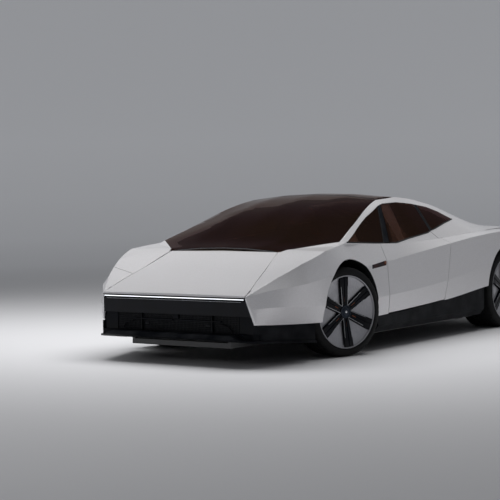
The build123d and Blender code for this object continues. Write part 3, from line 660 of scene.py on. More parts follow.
def make_spoke(shape, half, angle):
    """One spoke at an angle round the axle, lighter and lower towards the hub."""
    rows, strips = [], []
    for r in spoke_radii:
        width = 0.066 + (r - 0.05) * 0.115
        top = half - 0.021 + 0.0155 * min(max((r - 0.05) / 0.2, 0), 1)
        base = half - 0.046 + 0.026 * (r - 0.05) / 0.23
        corners = []
        section = spoke_section(width, top, base)
        for across, x, _ in section:
            reach = sqrt(max(spoke_reach ** 2 - across ** 2, 0)) if r == spoke_radii[-1] else r
            corners.append(shape.verts.new((x, reach * cos(angle) - across * sin(angle),
                                            reach * sin(angle) + across * cos(angle))))
        rows.append(corners)
        for _, _, strip in section[:-1]:
            plain = (strip == 2 and not insert_span[0] < r < insert_span[1]) or (strip == 1 and r > edge_end)
            strips.append(0 if plain else strip)
    for face, strip in zip(bridge(shape, rows, round_trip=False), strips):
        face.material_index = strip
    for corners in (rows[0], rows[-1]):
        shape.faces.new(corners)


def make_rim(axle, side, side_name):
    """Wheel: barrel, satin panel, spokes, hub with its cap, brake disc and neck."""
    half = tyre_half[axle]
    shape = bmesh.new()
    # finishes: 0 polished black, 1 machined edge, 2 copper insert, 3 satin panel, 4 cap, 5 cast metal
    front_barrel, front_panel, front_hub = ([(half - x, r) for x, r in part] for part in (barrel, panel, hub))
    back = [(0.0, 0.268)] + [(x - half, r) for x, r in barrel_back]
    turn_profile(shape, front_barrel + back, 120, barrel_strips)
    turn_profile(shape, front_panel, 120, 3)
    for k in range(spoke_count):
        make_spoke(shape, half, 2 * pi * k / spoke_count + pi / 2 + spoke_phase)
    turn_profile(shape, front_hub, 60, hub_strips)
    turn_profile(shape, disc, 72, 5)
    turn_profile(shape, [(0.0285, 0.030), (0.0285, 0.0615), (half - 0.050, 0.0615), (half - 0.050, 0.030)], 48, 5)
    placed(shape, axle, side)
    wheel_piece("rim", "spoked", shape, axle, side_name, radians(28), "rim", piano_black, machined, copper,
                satin_silver, cap_metal, cast_metal)


for axle in ("front", "rear"):
    for side, side_name in sides:
        make_tyre(axle, side, side_name)
        make_rim(axle, side, side_name)

# ------------------------------------------------------------------ linings and bands
cabin_skin = 0.99  # the cabin's faces lie nearer the middle than this
post_stations = ((0.30, 0.585), (1.50, 1.78))


def arch_surface(axle):
    """Test for the faces of a panel that line a wheel well."""
    y0, z0 = axle_y[axle], axle_height + arch_rise

    def wanted(centre, normal):
        reach = hypot(centre.y - y0, centre.z - z0)
        inward = Vector((0, y0 - centre.y, z0 - centre.z))
        if reach < 0.44 and normal.dot(inward.normalized()) > 0.9:
            return True
        return reach < 0.45 and abs(normal.x) > 0.9 and sign(normal.x) == -sign(centre.x)
    return wanted


def facing_cabin(centre, normal):
    """Faces that look towards the middle of the cabin."""
    towards = (Vector((0, -0.2, 0.75)) - centre).normalized()
    return normal.dot(towards) > 0.25 and abs(centre.x) < cabin_skin and -1.35 < centre.y < 0.56


def inside_post(centre, normal):
    """Faces of the fixed side panels that look into the cabin beside the door opening."""
    beside = any(at(start) < centre.y < at(end) for start, end in post_stations)
    return beside and normal.x * sign(centre.x) < -0.6 and abs(centre.x) < cabin_skin


def outer_face(up_share):
    """Test for the outside faces of a pane."""
    def wanted(centre, normal):
        outward = Vector((sign(centre.x) * 0.6, 0, up_share)).normalized()
        return normal.dot(outward) > 0.35
    return wanted


for _, side_name in sides:
    lining(f"arch_liner_front_{side_name}", f"wing_{side_name}", arch_surface("front"), liner_black, "trim", 0.002)
    lining(f"arch_liner_rear_{side_name}", f"quarter_panel_{side_name}", arch_surface("rear"), liner_black,
           "trim", 0.002)
for _, side_name in sides:
    for name, node_name, wanted in (("pillar_trim", "roof_frame", facing_cabin), ("door_card", "door", facing_cabin),
                                    ("front_post_trim", "wing", inside_post),
                                    ("rear_post_trim", "quarter_panel", inside_post)):
        lining(f"{name}_{side_name}", f"{node_name}_{side_name}", wanted, suede, "trim")
# pane, how far its outside looks up, width of its printed band
panes = [("windscreen", 0.9, 0.010), ("roof_glass", 0.9, 0.010), ("tail_window", 0.9, 0.022),
         ("door_glass_left", 0.5, 0.008), ("door_glass_right", 0.5, 0.008), ("quarter_glass", 0.5, 0.008)]
for node_name, up_share, width in panes:
    edge_band(f"band_{node_name}", node_name, outer_face(up_share), width, ceramic_band, "gloss_black")

# ------------------------------------------------------------------ rows made by geometry nodes
def row_tree(name, round_unit):
    """Node tree that sets bars, or round heads, along a path."""
    tree = bpy.data.node_groups.new(name, "GeometryNodeTree")
    for label, kind in (("Path", "Geometry"), ("Spacing", "Float"), ("Size", "Vector"), ("Facing", "Vector"),
                        ("Finish", "Material")):
        tree.interface.new_socket(label, in_out="INPUT", socket_type=f"NodeSocket{kind}")
    tree.interface.new_socket("Row", in_out="OUTPUT", socket_type="NodeSocketGeometry")
    given = add_node(tree, "NodeGroupInput").outputs
    line = add_node(tree, "GeometryNodeMeshToCurve", links={"Mesh": given["Path"]})
    spaced = add_node(tree, "GeometryNodeResampleCurve", mode="LENGTH",
                      links={"Curve": line.outputs["Curve"], "Length": given["Spacing"]})
    tangent = add_node(tree, "GeometryNodeInputTangent")
    along = add_node(tree, "FunctionNodeAlignRotationToVector", axis="X",
                     links={"Vector": tangent.outputs["Tangent"]})
    upright = add_node(tree, "FunctionNodeAlignRotationToVector", axis="Z", pivot_axis="X",
                       links={"Rotation": along.outputs["Rotation"], "Vector": given["Facing"]})
    if round_unit:
        sizes = add_node(tree, "ShaderNodeSeparateXYZ", links={"Vector": given["Size"]})
        unit = add_node(tree, "GeometryNodeMeshCylinder", {"Vertices": 10},
                        {"Radius": sizes.outputs["X"], "Depth": sizes.outputs["Z"]})
    else:
        unit = add_node(tree, "GeometryNodeMeshCube", links={"Size": given["Size"]})
    units = add_node(tree, "GeometryNodeInstanceOnPoints",
                     links={"Points": spaced.outputs["Curve"], "Instance": unit.outputs["Mesh"],
                            "Rotation": upright.outputs["Rotation"]})
    whole = add_node(tree, "GeometryNodeRealizeInstances", links={"Geometry": units.outputs["Instances"]})
    coated = add_node(tree, "GeometryNodeSetMaterial",
                      links={"Geometry": whole.outputs["Geometry"], "Material": given["Finish"]})
    add_node(tree, "NodeGroupOutput", links={"Row": coated.outputs["Geometry"]})
    return tree


bar_row = row_tree("bar_row", False)
head_row = row_tree("head_row", True)


def row(name, tree, paths, spacing, size, facing, material, slot, body="body"):
    """Mesh piece of units set along each path, evenly spaced."""
    mesh = bpy.data.meshes.new(name)
    corners, edges = [], []
    for line in paths:
        start = len(corners)
        corners += [tuple(point) for point in line]
        edges += [(start + i, start + i + 1) for i in range(len(line) - 1)]
    mesh.from_pydata(corners, edges, [])
    maker = linked(f"{name}_path", mesh)
    modifier = maker.modifiers.new("row", "NODES")
    modifier.node_group = tree
    sockets = {item.name: item.identifier for item in tree.interface.items_tree}
    for label, value in (("Spacing", spacing), ("Size", size), ("Facing", facing), ("Finish", material)):
        modifier[sockets[label]] = value
    evaluated = maker.evaluated_get(bpy.context.evaluated_depsgraph_get())
    result = bpy.data.meshes.new_from_object(evaluated)
    bpy.data.objects.remove(maker)
    result.name = name
    piece(name, result, body, slot)


stitch = (0.0055, 0.0016, 0.0014)  # length along the seam, width, height
stitch_spacing = 0.0085
module_spacing = 0.0135  # of lamp modules and the intake's mesh

# ------------------------------------------------------------------ front lamps and intake
nose = -1.050  # station of the lamp's face
intake = -0.987  # station of the mesh in front of the intake's back
modules, mesh_levels = nose - 0.0016, intake + 0.0005
shape = bmesh.new()
sweep(shape, path((-0.684, nose - 0.0018, 0.5178), (0.684, nose - 0.0018, 0.5178)), flat_bar(0.0022, 0.0058))
solid("front_lamp_line", shape, "body", "light_lens", lamp_glow)
shape = bmesh.new()
sweep(shape, path((-0.66, modules, 0.4985), (0.66, modules, 0.4985)), flat_bar(0.0018, 0.0030))
solid("front_lamp_reflector", shape, "body", "light_lens", machined)
row("front_lamp_modules", bar_row, [path((-0.67, modules, 0.5115), (0.67, modules, 0.5115))], module_spacing,
    (0.0095, 0.0018, 0.0036), (0, 0, 1), display, "light_lens")
row("intake_mesh_uprights", bar_row, [path((-0.590, intake, 0.3155), (0.590, intake, 0.3155))], module_spacing,
    (0.0016, 0.0040, 0.134), (0, 0, 1), liner_black, "gloss_black")
row("intake_mesh_levels", bar_row, [path((0, mesh_levels, 0.253), (0, mesh_levels, 0.380))], module_spacing,
    (0.0016, 1.184, 0.0036), (0, -1, 0), liner_black, "gloss_black")
shape = bmesh.new()
for side, _ in sides:
    sweep(shape, path((0.535, -0.995, 0.262), (0.505, -1.000, 0.300), (0.430, -1.000, 0.322), side=side),
          flat_bar(0.006, 0.012), up=(0, -1, 0))
    add_block(shape, about(0.30, 0.024), (-0.9905, -0.985), (0.290, 0.322), 0.003, side=side)
solid("intake_struts", shape, "body", "gloss_black", piano_black)

# ------------------------------------------------------------------ side markers and window seals
markers = surface("side_markers")
shape = bmesh.new()
for side, _ in sides:
    line = []
    for station, z in ((0.540, 0.7195), (0.556, 0.7215), (0.573, 0.7235)):
        place, normal = drop(markers, (side * 1.3, at(station), z), (-side, 0, 0))
        if place:
            line.append(place + normal * 0.0012)
    if len(line) > 1:
        sweep(shape, line, flat_bar(0.0240, 0.0030), up=(side, 0, 0))
solid("marker_tips", shape, "body", "copper", copper)


def rim_loops(node_name, up_share):
    """Open loops round a pane's outside faces."""
    skin = merged(node_name)
    keep_faces(skin, outer_face(up_share))
    loops = loops_of(skin)
    skin.free()
    return loops


def thinned(line, gap):
    """Points of a line that lie further apart than a gap."""
    kept = []
    for point in line:
        if not kept or (point - kept[-1]).length > gap:
            kept.append(point)
    return kept


for node_name, up_share, _ in panes[3:]:
    shape = bmesh.new()
    for loop in rim_loops(node_name, up_share):
        line = thinned(loop, 0.012)
        if len(line) > 6:
            outward = sign(sum(point.x for point in line)) * 0.6
            sweep(shape, line, ring(0.0042, 8, 0.6), closed=True, up=(outward, 0, up_share))
    solid(f"seal_{node_name}", shape, cad[node_name]["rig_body"], "trim", seal_rubber, smooth=radians(60))

# ------------------------------------------------------------------ seats
seat_middle = 0.415
seat_half = 0.262
voxel = 0.0075
most_swell = 0.016
stuffing_frames = 20
pad_steps = 8  # rows of corners along a pad
# name, first and last (station, height), recess under the seat's outline, half-width, wing width, wing rise,
# depth, drop of the front edge, spacing of the sewn channels
pad_table = [
    ("cushion", (0.712, 0.404), (1.150, 0.350), 0.040, 0.240, 0.072, 0.036, 0.085, 0.020, 0.062),
    ("backrest", (1.222, 0.412), (1.482, 0.880), 0.040, 0.232, 0.068, 0.036, 0.080, 0.006, 0.066),
    ("headrest", (1.508, 0.925), (1.560, 1.010), 0.030, 0.118, 0.030, 0.006, 0.055, 0.004, 0.400),
]
shell_outline = [(0.705, 0.232), (0.708, 0.338), (0.770, 0.342), (1.165, 0.285), (1.238, 0.318), (1.556, 0.884),
                 (1.604, 0.985), (1.614, 1.000), (1.630, 0.988), (1.634, 0.900), (1.378, 0.240),
                 (1.372, 0.1725), (0.748, 0.1725)]  # station, height


def seat_frame(first, last):
    """Base point, direction along and direction out of a pad between two (station, height) points."""
    along = Vector((0, last[0] - first[0], last[1] - first[1]))
    length = along.length
    along.normalize()
    return Vector((0, at(first[0]), first[1])), along, Vector((1, 0, 0)).cross(along), length


def pad_block(length, half, wing_width, wing_rise, depth, nose_drop):
    """Closed pad about its base point: u across, v along, w out of the seat, sides raised."""
    shape = bmesh.new()
    slope = half - wing_width * 0.35
    across = [-half, -slope, -half + wing_width, -half * 0.5, 0, half * 0.5, half - wing_width, slope, half]
    rises = [wing_rise * 0.55, wing_rise, 0.0, 0.0, 0.0, 0.0, 0.0, wing_rise, wing_rise * 0.55]
    rows = []
    for j in range(pad_steps + 1):
        share = j / pad_steps
        fade = 1.0 if 0.12 < share < 0.9 else 0.72
        taper = 1.0 - (0.10 if share < 0.1 else 0.0) - (0.04 if share > 0.92 else 0.0)
        down = nose_drop if j == 0 else 0.0
        over = [(u * taper, share * length, rise * fade - down) for u, rise in zip(across, rises)]
        under = [(u * taper, share * length, -depth + down * 0.4) for u in reversed(across)]
        rows.append([shape.verts.new(point) for point in over + under])
    bridge(shape, rows)
    cap_ends(shape, rows)
    bmesh.ops.recalc_face_normals(shape, faces=shape.faces)
    return shape


def remeshed(shape, name):
    """Evenly meshed copy of a closed shape."""
    made = linked(name, mesh_of(shape, name))
    modifier = made.modifiers.new("even", "REMESH")
    modifier.mode = "VOXEL"
    modifier.voxel_size = voxel
    even = bpy.data.meshes.new_from_object(made.evaluated_get(bpy.context.evaluated_depsgraph_get()))
    bpy.data.objects.remove(made)
    return even


def stuffed(mesh, name, depth):
    """Swell a pad as filled cloth does; its resting side stays, no point moves further than the most."""
    start = [vert.co.copy() for vert in mesh.vertices]
    made = linked(name, mesh)
    held = made.vertex_groups.new(name="resting_side")
    for vert in mesh.vertices:
        if vert.co.z < -depth + 0.012:
            held.add([vert.index], 1.0, "REPLACE")
    cloth = made.modifiers.new("filling", "CLOTH")
    cloth.settings.use_pressure = True
    cloth.settings.uniform_pressure_force = 4
    cloth.settings.effector_weights.gravity = 0
    cloth.settings.vertex_group_mass = "resting_side"
    cloth.settings.quality = 5
    cloth.point_cache.frame_start = 1
    cloth.point_cache.frame_end = stuffing_frames
    for frame_number in range(1, stuffing_frames + 1):
        bpy.context.scene.frame_set(frame_number)
    swollen = made.evaluated_get(bpy.context.evaluated_depsgraph_get()).to_mesh()
    result = []
    for before, vert in zip(start, swollen.vertices):
        move = vert.co - before
        if move.length > most_swell:
            move = move.normalized() * most_swell
        result.append(before + move)
    bpy.data.objects.remove(made)
    bpy.context.scene.frame_set(1)
    return result


def channel_depth(place, length, half, wing_width, spacing):
    """How deep the sewn channels and the long seams pull the cover in at a place."""
    u, v, w = place
    if w < -0.03:
        return 0.0
    seam = exp(-((abs(u) - half + wing_width * 1.08) / 0.0055) ** 2) * 0.0085
    lines = 0.0
    if abs(u) < half - wing_width * 1.1 and 0.05 < v < length - 0.05:
        near = abs((v - 0.05) % spacing - spacing / 2)
        lines = exp(-((spacing / 2 - near) / 0.0050) ** 2) * 0.0055
    return seam + lines


for pad_name, first, last, recess, half, wing_width, wing_rise, depth, nose_drop, spacing in pad_table:
    base, along, out, length = seat_frame(first, last)
    base -= out * recess
    even = remeshed(pad_block(length, half, wing_width, wing_rise, depth, nose_drop), pad_name)
    places = stuffed(even, pad_name, depth)
    for vert, place in zip(even.vertices, places):
        vert.co = place
    normals = [vert.normal.copy() for vert in even.vertices]
    pulled = [place - normal * channel_depth(place, length, half, wing_width, spacing)
              for place, normal in zip(places, normals)]
    for side, side_name in sides:
        def in_seat(u, v, w):
            """Place in this seat of a point of the pad's own frame."""
            return base + Vector((side * seat_middle + u, 0, 0)) + along * v + out * w

        name = f"seat_{pad_name}_{side_name}"
        shape = bmesh.new()
        shape.from_mesh(even)
        for vert, place in zip(shape.verts, pulled):
            vert.co = in_seat(*place)
        made = solid(name, shape, "body", "leather", leather, smooth=pi)
        finer = made.modifiers.new("finer", "SUBSURF")
        finer.levels = finer.render_levels = 1
        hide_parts("seats")
        if pad_name == "headrest":
            continue
        cover = BVHTree.FromPolygons([vert.co.copy() for vert in made.data.vertices],
                                     [list(face.vertices) for face in made.data.polygons])
        seams = []
        for u in (edge * (half - wing_width * 1.08) + shift for edge in (-1, 1) for shift in (-0.006, 0.006)):
            hits = [drop(cover, in_seat(u, 0.03 + (length - 0.06) * i / 28, 0.10), -out)[0] for i in range(29)]
            seams.append([place + out * 0.0006 for place in hits if place is not None])
        row(f"stitches_{pad_name}_{side_name}", bar_row, seams, 0.0075, (0.0050, 0.0014, 0.0012), out, thread,
            "leather")

shape = bmesh.new()
for side, _ in sides:
    edges_of_shell = [[shape.verts.new(point) for point in path(*((x, *place) for place in shell_outline), side=side)]
                      for x in about(seat_middle, seat_half)]
    bridge(shape, edges_of_shell)
    cap_ends(shape, edges_of_shell)
bmesh.ops.recalc_face_normals(shape, faces=shape.faces)
sharp = [edge for edge in shape.edges if edge.calc_face_angle(0) > radians(20)]
bmesh.ops.bevel(shape, geom=sharp, offset=0.009, segments=3, profile=0.5, affect="EDGES", clamp_overlap=True)
shell = solid("seat_shells", shape, "body", "trim", satin_shell)
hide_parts("seats")
shape = bmesh.new()
for side, _ in sides:
    for x in about(seat_middle, 0.15):
        add_block(shape, about(x, 0.016), (0.72, 1.42), (0.1702, 0.182), 0.002, side=side)
solid("seat_rails", shape, "body", "metal", forged)

# ------------------------------------------------------------------ steering wheel
wheel_tilt = radians(22)
wheel_middle = Vector((0.400, at(0.480), 0.795))
wheel_up = Vector((0, -sin(wheel_tilt), cos(wheel_tilt)))
wheel_out = Vector((0, cos(wheel_tilt), sin(wheel_tilt)))
grip_radius = 0.166
flat_bottom = -0.128
column_profile = [(0.024, -0.022), (0.030, -0.060), (0.040, -0.100), (0.044, -0.128)]  # radius, out of the plane


def on_wheel(*points, side=1):
    """Row-frame points of (right, up, out of its plane) points on the steering wheel."""
    return [wheel_middle + Vector((1, 0, 0)) * side * a + wheel_up * b + wheel_out * c for a, b, c in points]


# finishes: 0 leather, 1 satin shell, 2 copper, 3 machined, 4 moulded black
shape = bmesh.new()
grip = [(grip_radius * a, max(grip_radius * b, flat_bottom), 0.004 * (abs(a) > 0.8)) for a, b in circle(72)]
sweep(shape, on_wheel(*grip), ring(0.0145, 14, 0.88), closed=True, up=wheel_out)
top_mark = [(grip_radius * cos(radians(turn)), grip_radius * sin(radians(turn)), 0)
            for turn in (85, 87.5, 90, 92.5, 95)]
sweep(shape, on_wheel(*top_mark), ring(0.0152, 14, 0.88), up=wheel_out, strip=2)
for side, _ in sides:
    sweep(shape, on_wheel((0.050, -0.010, 0), (0.105, -0.004, -0.006), (0.158, -0.002, 0), side=side),
          flat_bar(0.010, 0.034), up=wheel_up, strip=1)
    for height in (0.006, -0.014):
        sweep(shape, on_wheel((0.078, height, 0.002), (0.122, height + 0.003, -0.0005), side=side),
              flat_bar(0.006, 0.009), up=wheel_up, strip=3)
    sweep(shape, on_wheel((0.075, 0.012, -0.026), (0.120, 0.040, -0.028), (0.135, 0.075, -0.027), side=side),
          flat_bar(0.004, 0.024), up=wheel_up, strip=1)
    sweep(shape, on_wheel((0.030, 0.004, -0.075), (0.090, 0.014, -0.072), (0.125, 0.020, -0.066), side=side),
          ring(0.0055, 10), up=wheel_up, strip=4)
sweep(shape, on_wheel((0, -0.045, -0.004), (0, -0.124, 0)), flat_bar(0.036, 0.009), up=wheel_out, strip=1)
for low, high, grow in ((-0.022, 0.012, 1.0), (0.012, 0.016, 0.86)):
    sweep(shape, on_wheel((0, 0, low), (0, 0, high)), [(0.064 * grow * a, 0.046 * grow * b) for a, b in circle(24)],
          up=wheel_up)
column = [[shape.verts.new(place) for place in on_wheel(*((r * a, r * 0.9 * b, out) for a, b in circle(24)))]
          for r, out in column_profile]
bridge(shape, column, strip=4)
cap_ends(shape, column, strip=4)
wheel = solid("dressed_steering_wheel", shape, "body", "trim", leather, satin_shell, copper, machined, liner_black)
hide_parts("steering_wheel")

# ------------------------------------------------------------------ dashboard and console
face_low, face_high = Vector((0, at(0.352), 0.816)), Vector((0, at(0.330), 0.878))
face_up = (face_high - face_low).normalized()
face_out = Vector((-1, 0, 0)).cross(face_up)
hood_middle = (0.400, 0.868)  # across, height
hood_rows = ((0.205, 0.90), (0.300, 0.98), (0.362, 1.0), (0.366, 0.985))  # station, size


def on_dash(start, end, up, out):
    """Level line on the dashboard's rear face: from start to end across, up it and out of it."""
    return [Vector((x, 0, 0)) + face_low + face_up * up + face_out * out for x in (start, end)]


shape = bmesh.new()
sweep(shape, on_dash(-0.60, 0.66, 0.035, 0.003), flat_bar(0.010, 0.052), up=face_up)
solid("dash_display", shape, "body", "trim", display)
shape = bmesh.new()
for up in (0.006, 0.064):
    sweep(shape, on_dash(-0.78, 0.78, up, 0.002), flat_bar(0.007, 0.0035), up=face_up)
solid("dash_lines", shape, "body", "copper", copper)
shape = bmesh.new()
for start, end in ((0.675, 0.775), (-0.775, -0.615)):
    for up in (0.016, 0.026, 0.036, 0.046, 0.056):
        sweep(shape, on_dash(start, end, up, 0.004), flat_bar(0.011, 0.0026), up=face_up)
solid("dash_vent_slats", shape, "body", "trim", satin_shell)
row("dash_vent_vanes", bar_row, [on_dash(0.68, 0.77, 0.036, 0.001), on_dash(-0.77, -0.62, 0.036, 0.001)], 0.016,
    (0.0016, 0.006, 0.048), tuple(face_up), liner_black, "trim")

shape = bmesh.new()
for side, _ in sides:
    sweep(shape, path((0.07, -0.045, 0.8675), (0.72, -0.010, 0.8725), side=side), flat_bar(0.022, 0.004),
          up=(0, -0.15, 1))
    sweep(shape, path((0.770, 0.060, 0.8830), (0.770, 0.300, 0.8805), side=side), flat_bar(0.018, 0.004))
solid("demister_slots", shape, "body", "trim", liner_black)
row("dash_stitches", bar_row, [path((-0.80, 0.312, 0.8806), (0.80, 0.312, 0.8806))], 0.011,
    (0.007, 0.0020, 0.0014), (0, 0.17, 0.98), thread, "leather")
shape = bmesh.new()
arch = [(0.155 * cos(pi * i / 24), 0.002 + 0.040 * sin(pi * i / 24) ** 0.7) for i in range(25)]
rows = [[shape.verts.new((hood_middle[0] + x * grow, at(station), hood_middle[1] + z * grow)) for x, z in arch]
        for station, grow in hood_rows]
bridge(shape, rows, round_trip=False)
bmesh.ops.recalc_face_normals(shape, faces=shape.faces)
bmesh.ops.solidify(shape, geom=list(shape.faces) + list(shape.edges) + list(shape.verts), thickness=0.004)
solid("instrument_hood", shape, "body", "trim", suede)

shape = bmesh.new()
add_block(shape, (-0.098, 0.098), (0.338, 0.348), (0.470, 0.690), 0.004, 3)
solid("console_display", shape, "body", "trim", display)
shape = bmesh.new()
add_block(shape, (-0.106, 0.106), (0.402, 0.90), (0.4185, 0.428), 0.004, 3, strip=0)
add_block(shape, (-0.108, 0.108), (0.93, 1.47), (0.4185, 0.446), 0.012, 4, strip=1)
add_block(shape, (-0.026, 0.026), (0.46, 0.60), (0.426, 0.434), 0.003, 3, strip=3)
add_block(shape, (-0.014, 0.014), (0.505, 0.555), (0.432, 0.462), 0.006, 3, strip=2)
for side, _ in sides:
    for k in range(5):
        station = 0.66 + 0.026 * k
        add_block(shape, (0.030, 0.075), (station, station + 0.018), (0.4275, 0.431), 0.0015, side=side, strip=4)
    sweep(shape, path((0.1035, 0.41, 0.4285), (0.1035, 0.89, 0.4285), side=side), flat_bar(0.003, 0.002), strip=2)
solid("console_top", shape, "body", "trim", display, leather, copper, satin_shell, machined)
row("console_stitches", bar_row, [path((x, 0.945, 0.4462), (x, 1.455, 0.4462)) for x in (-0.088, 0.088)],
    stitch_spacing, stitch, (0, 0, 1), thread, "leather")

# ------------------------------------------------------------------ footwells, mats and bulkhead
pedals = ((0.245, 0.300, 0.044), (0.345, 0.290, 0.030))  # across, foot of the pad, half-width
cabin_floor = 0.1702
shape = bmesh.new()
for x, low, half in pedals:
    add_block(shape, about(x, half), (0.070, 0.078), (low, low + 0.125), 0.004, 3, tilt=radians(24))
    sweep(shape, path((x, -0.055, low + 0.20), (x, 0.010, low + 0.13), (x, 0.066, low + 0.06)),
          flat_bar(0.012, 0.018), strip=1)
solid("pedals", shape, "body", "metal", forged, cast_metal)
row("pedal_ribs", bar_row, [path((x, 0.066, low + 0.012), (x, 0.110, low + 0.112)) for x, low, _ in pedals], 0.016,
    (0.006, 0.050, 0.0030), (0, -0.4, 0.9), seal_rubber, "metal")
shape = bmesh.new()
for side, _ in sides:
    add_block(shape, about(0.30, 0.165), (0.12, 0.68), (cabin_floor, 0.1765), 0.003, side=side)
    add_block(shape, (0.13, 0.80), (0.70, 1.75), (cabin_floor, 0.1735), 0.001, 1, side=side)
solid("floor_mats", shape, "body", "trim", carpet)
shape = bmesh.new()
for k in range(-6, 7):
    add_block(shape, about(k * 0.125, 0.060), (1.776, 1.7895), (0.30, 0.86), 0.009, 3)
solid("bulkhead_panels", shape, "body", "trim", suede)
shape = bmesh.new()
for side, _ in sides:
    for x in (0.30, 0.53):
        sweep(shape, path((x, 1.783, 0.62), (x, 1.700, 0.70), (x, 1.668, 0.86), side=side),
              flat_bar(0.046, 0.0022), up=(0, 0.3, 1))
solid("belt_webbing", shape, "body", "trim", webbing)
shape = bmesh.new()
for side, _ in sides:
    add_block(shape, (0.4825, 0.4848), (-0.088, 0.449), (0.165, 0.800), 0.0005, 1, side=side)
solid("footwell_walls", shape, "body", "trim", carpet)

# ------------------------------------------------------------------ door cards
card = 0.8375  # inner face of the door, across
for side, side_name in sides:
    door = f"door_{side_name}"
    shape = bmesh.new()
    add_block(shape, (card - 0.052, card), (0.86, 1.42), (0.560, 0.596), 0.013, 4, side=side)
    trim_line = path(*((card - 0.003, *place) for place in ((0.70, 0.668), (1.00, 0.690), (1.50, 0.722))), side=side)
    sweep(shape, trim_line, flat_bar(0.007, 0.0045), up=(side, 0, 0), strip=1)
    add_block(shape, (card - 0.020, card), (1.02, 1.12), (0.628, 0.644), 0.005, 3, side=side, strip=2)
    add_block(shape, (card - 0.006, card), (0.72, 1.46), (0.420, 0.520), 0.003, 3, side=side, strip=3)
    solid(f"door_fittings_{side_name}", shape, door, "trim", leather, copper, machined, satin_shell)
    row(f"door_stitches_{side_name}", bar_row,
        [path((card - 0.030, 0.875, 0.5962), (card - 0.030, 1.405, 0.5962), side=side)], stitch_spacing, stitch,
        (0, 0, 1), thread, "leather", door)
    holes = [path((card - 0.0005, 0.665, 0.36 + 0.0105 * k), (card - 0.0005, 0.775, 0.36 + 0.0105 * k), side=side)
             for k in range(9)]
    row(f"speaker_grille_{side_name}", head_row, holes, 0.0105, (0.0031, 0.0031, 0.0034), (-side, 0, 0), machined,
        "trim", door)

# ------------------------------------------------------------------ smooth panes, bead and wing seam
for node_name, _, _ in panes:
    pane = solid(f"smooth_{node_name}", merged(node_name), cad[node_name]["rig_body"], "bronze_glass", bronze_glass,
                 smooth=radians(24))
    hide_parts(node_name)

bead_end = at(0.95)
loop = max(rim_loops("windscreen", 0.9), key=len)
start = next(i for i in range(len(loop)) if loop[i].y < bead_end <= loop[i - 1].y)
bead = thinned([point for point in loop[start:] + loop[:start] if point.y < bead_end], 0.02)
shape = bmesh.new()
sweep(shape, bead, ring(0.0036, 8, 0.5), up=(0, -0.35, 0.9))
solid("windscreen_bead", shape, "body", "metal", machined, smooth=radians(60))

wing = surface("wing_right")
seam = []
for share in (i / 26 for i in range(27)):
    place, normal = drop(wing, (-0.630 - 0.245 * share, at(-0.749 + 0.048 * share), 1.2), (0, 0, -1))
    if place is not None and normal.z > 0.6:
        seam.append(place)
shape = bmesh.new()
sweep(shape, seam, flat_bar(0.0032, 0.0008), up=(0, -0.4, 0.9))
solid("wing_seam", shape, "body", "trim", seal_rubber)


# ------------------------------------------------------------------ bonnet underside and luggage tub
def lid_ribs(name, lid, half, start, front, back, cross, height, width, steps):
    """Ribs under a lid: two along it, three across, and two from the front corners to the back's middle."""
    tree = surface(lid)
    shape = bmesh.new()
    for (x0, s0), (x1, s1) in (((-half, start), (-half, back)), ((half, start), (half, back)),
                               ((-half, front), (half, front)), ((-half, back), (half, back)),
                               ((-half, front), (0, back)), ((half, front), (0, back)),
                               ((-half, cross), (half, cross))):
        line = []
        for share in (i / steps for i in range(steps + 1)):
            place, _ = drop(tree, (x0 + (x1 - x0) * share, at(s0 + (s1 - s0) * share), 0.2), (0, 0, 1))
            if place is not None:
                line.append(place - Vector((0, 0, height / 2)))
        if len(line) > 2:
            sweep(shape, line, flat_bar(width, height))
    solid(name, shape, lid, "trim", liner_black)


lid_ribs("bonnet_ribs", "bonnet", 0.40, -0.90, -0.90, -0.43, -0.66, 0.012, 0.034, 14)
bonnet_under = surface("bonnet")
shape = bmesh.new()
for x, station in ((-0.30, -0.76), (0.30, -0.76), (-0.20, -0.55), (0.20, -0.55)):
    place, _ = drop(bonnet_under, (x, at(station), 0.2), (0, 0, 1))
    add_block(shape, about(x, 0.010), about(station, 0.010), (place.z - 0.010, place.z + 0.001), 0.003)
solid("bonnet_stops", shape, "bonnet", "trim", seal_rubber)

shape = bmesh.new()
add_block(shape, (-0.452, 0.452), (-0.935, -0.100), (0.1704, 0.177), 0.003)
for x in (-0.4585, 0.4525):
    add_block(shape, (x, x + 0.006), (-0.925, -0.105), (0.178, 0.500), 0.0025)
add_block(shape, (-0.450, 0.450), (-0.0965, -0.0905), (0.178, 0.700), 0.0025)
solid("tub_carpets", shape, "body", "trim", carpet)
eye_profile = ((-0.024, 0.179), (-0.020, 0.193), (0, 0.199), (0.020, 0.193), (0.024, 0.179))
shape = bmesh.new()
for x in (-0.34, 0.34):
    for station in (-0.86, -0.18):
        sweep(shape, path(*((x, station + shift, z) for shift, z in eye_profile)), ring(0.0035, 8), up=(1, 0, 0))
solid("tub_lashing_eyes", shape, "body", "metal", forged)
mat = ((-0.445, -0.928, 0.1772), (0.445, -0.928, 0.1772), (-0.445, -0.108, 0.1772), (0.445, -0.108, 0.1772))
row("tub_mat_edge", bar_row, [path(mat[a], mat[b]) for a, b in ((0, 1), (2, 3), (0, 2), (1, 3))], 0.011,
    (0.007, 0.0022, 0.0016), (0, 0, 1), thread, "trim")

# ------------------------------------------------------------------ tail lid underside and power unit
lid_ribs("tail_lid_ribs", "tail_lid", 0.50, 2.10, 2.76, 3.42, 3.10, 0.014, 0.040, 20)

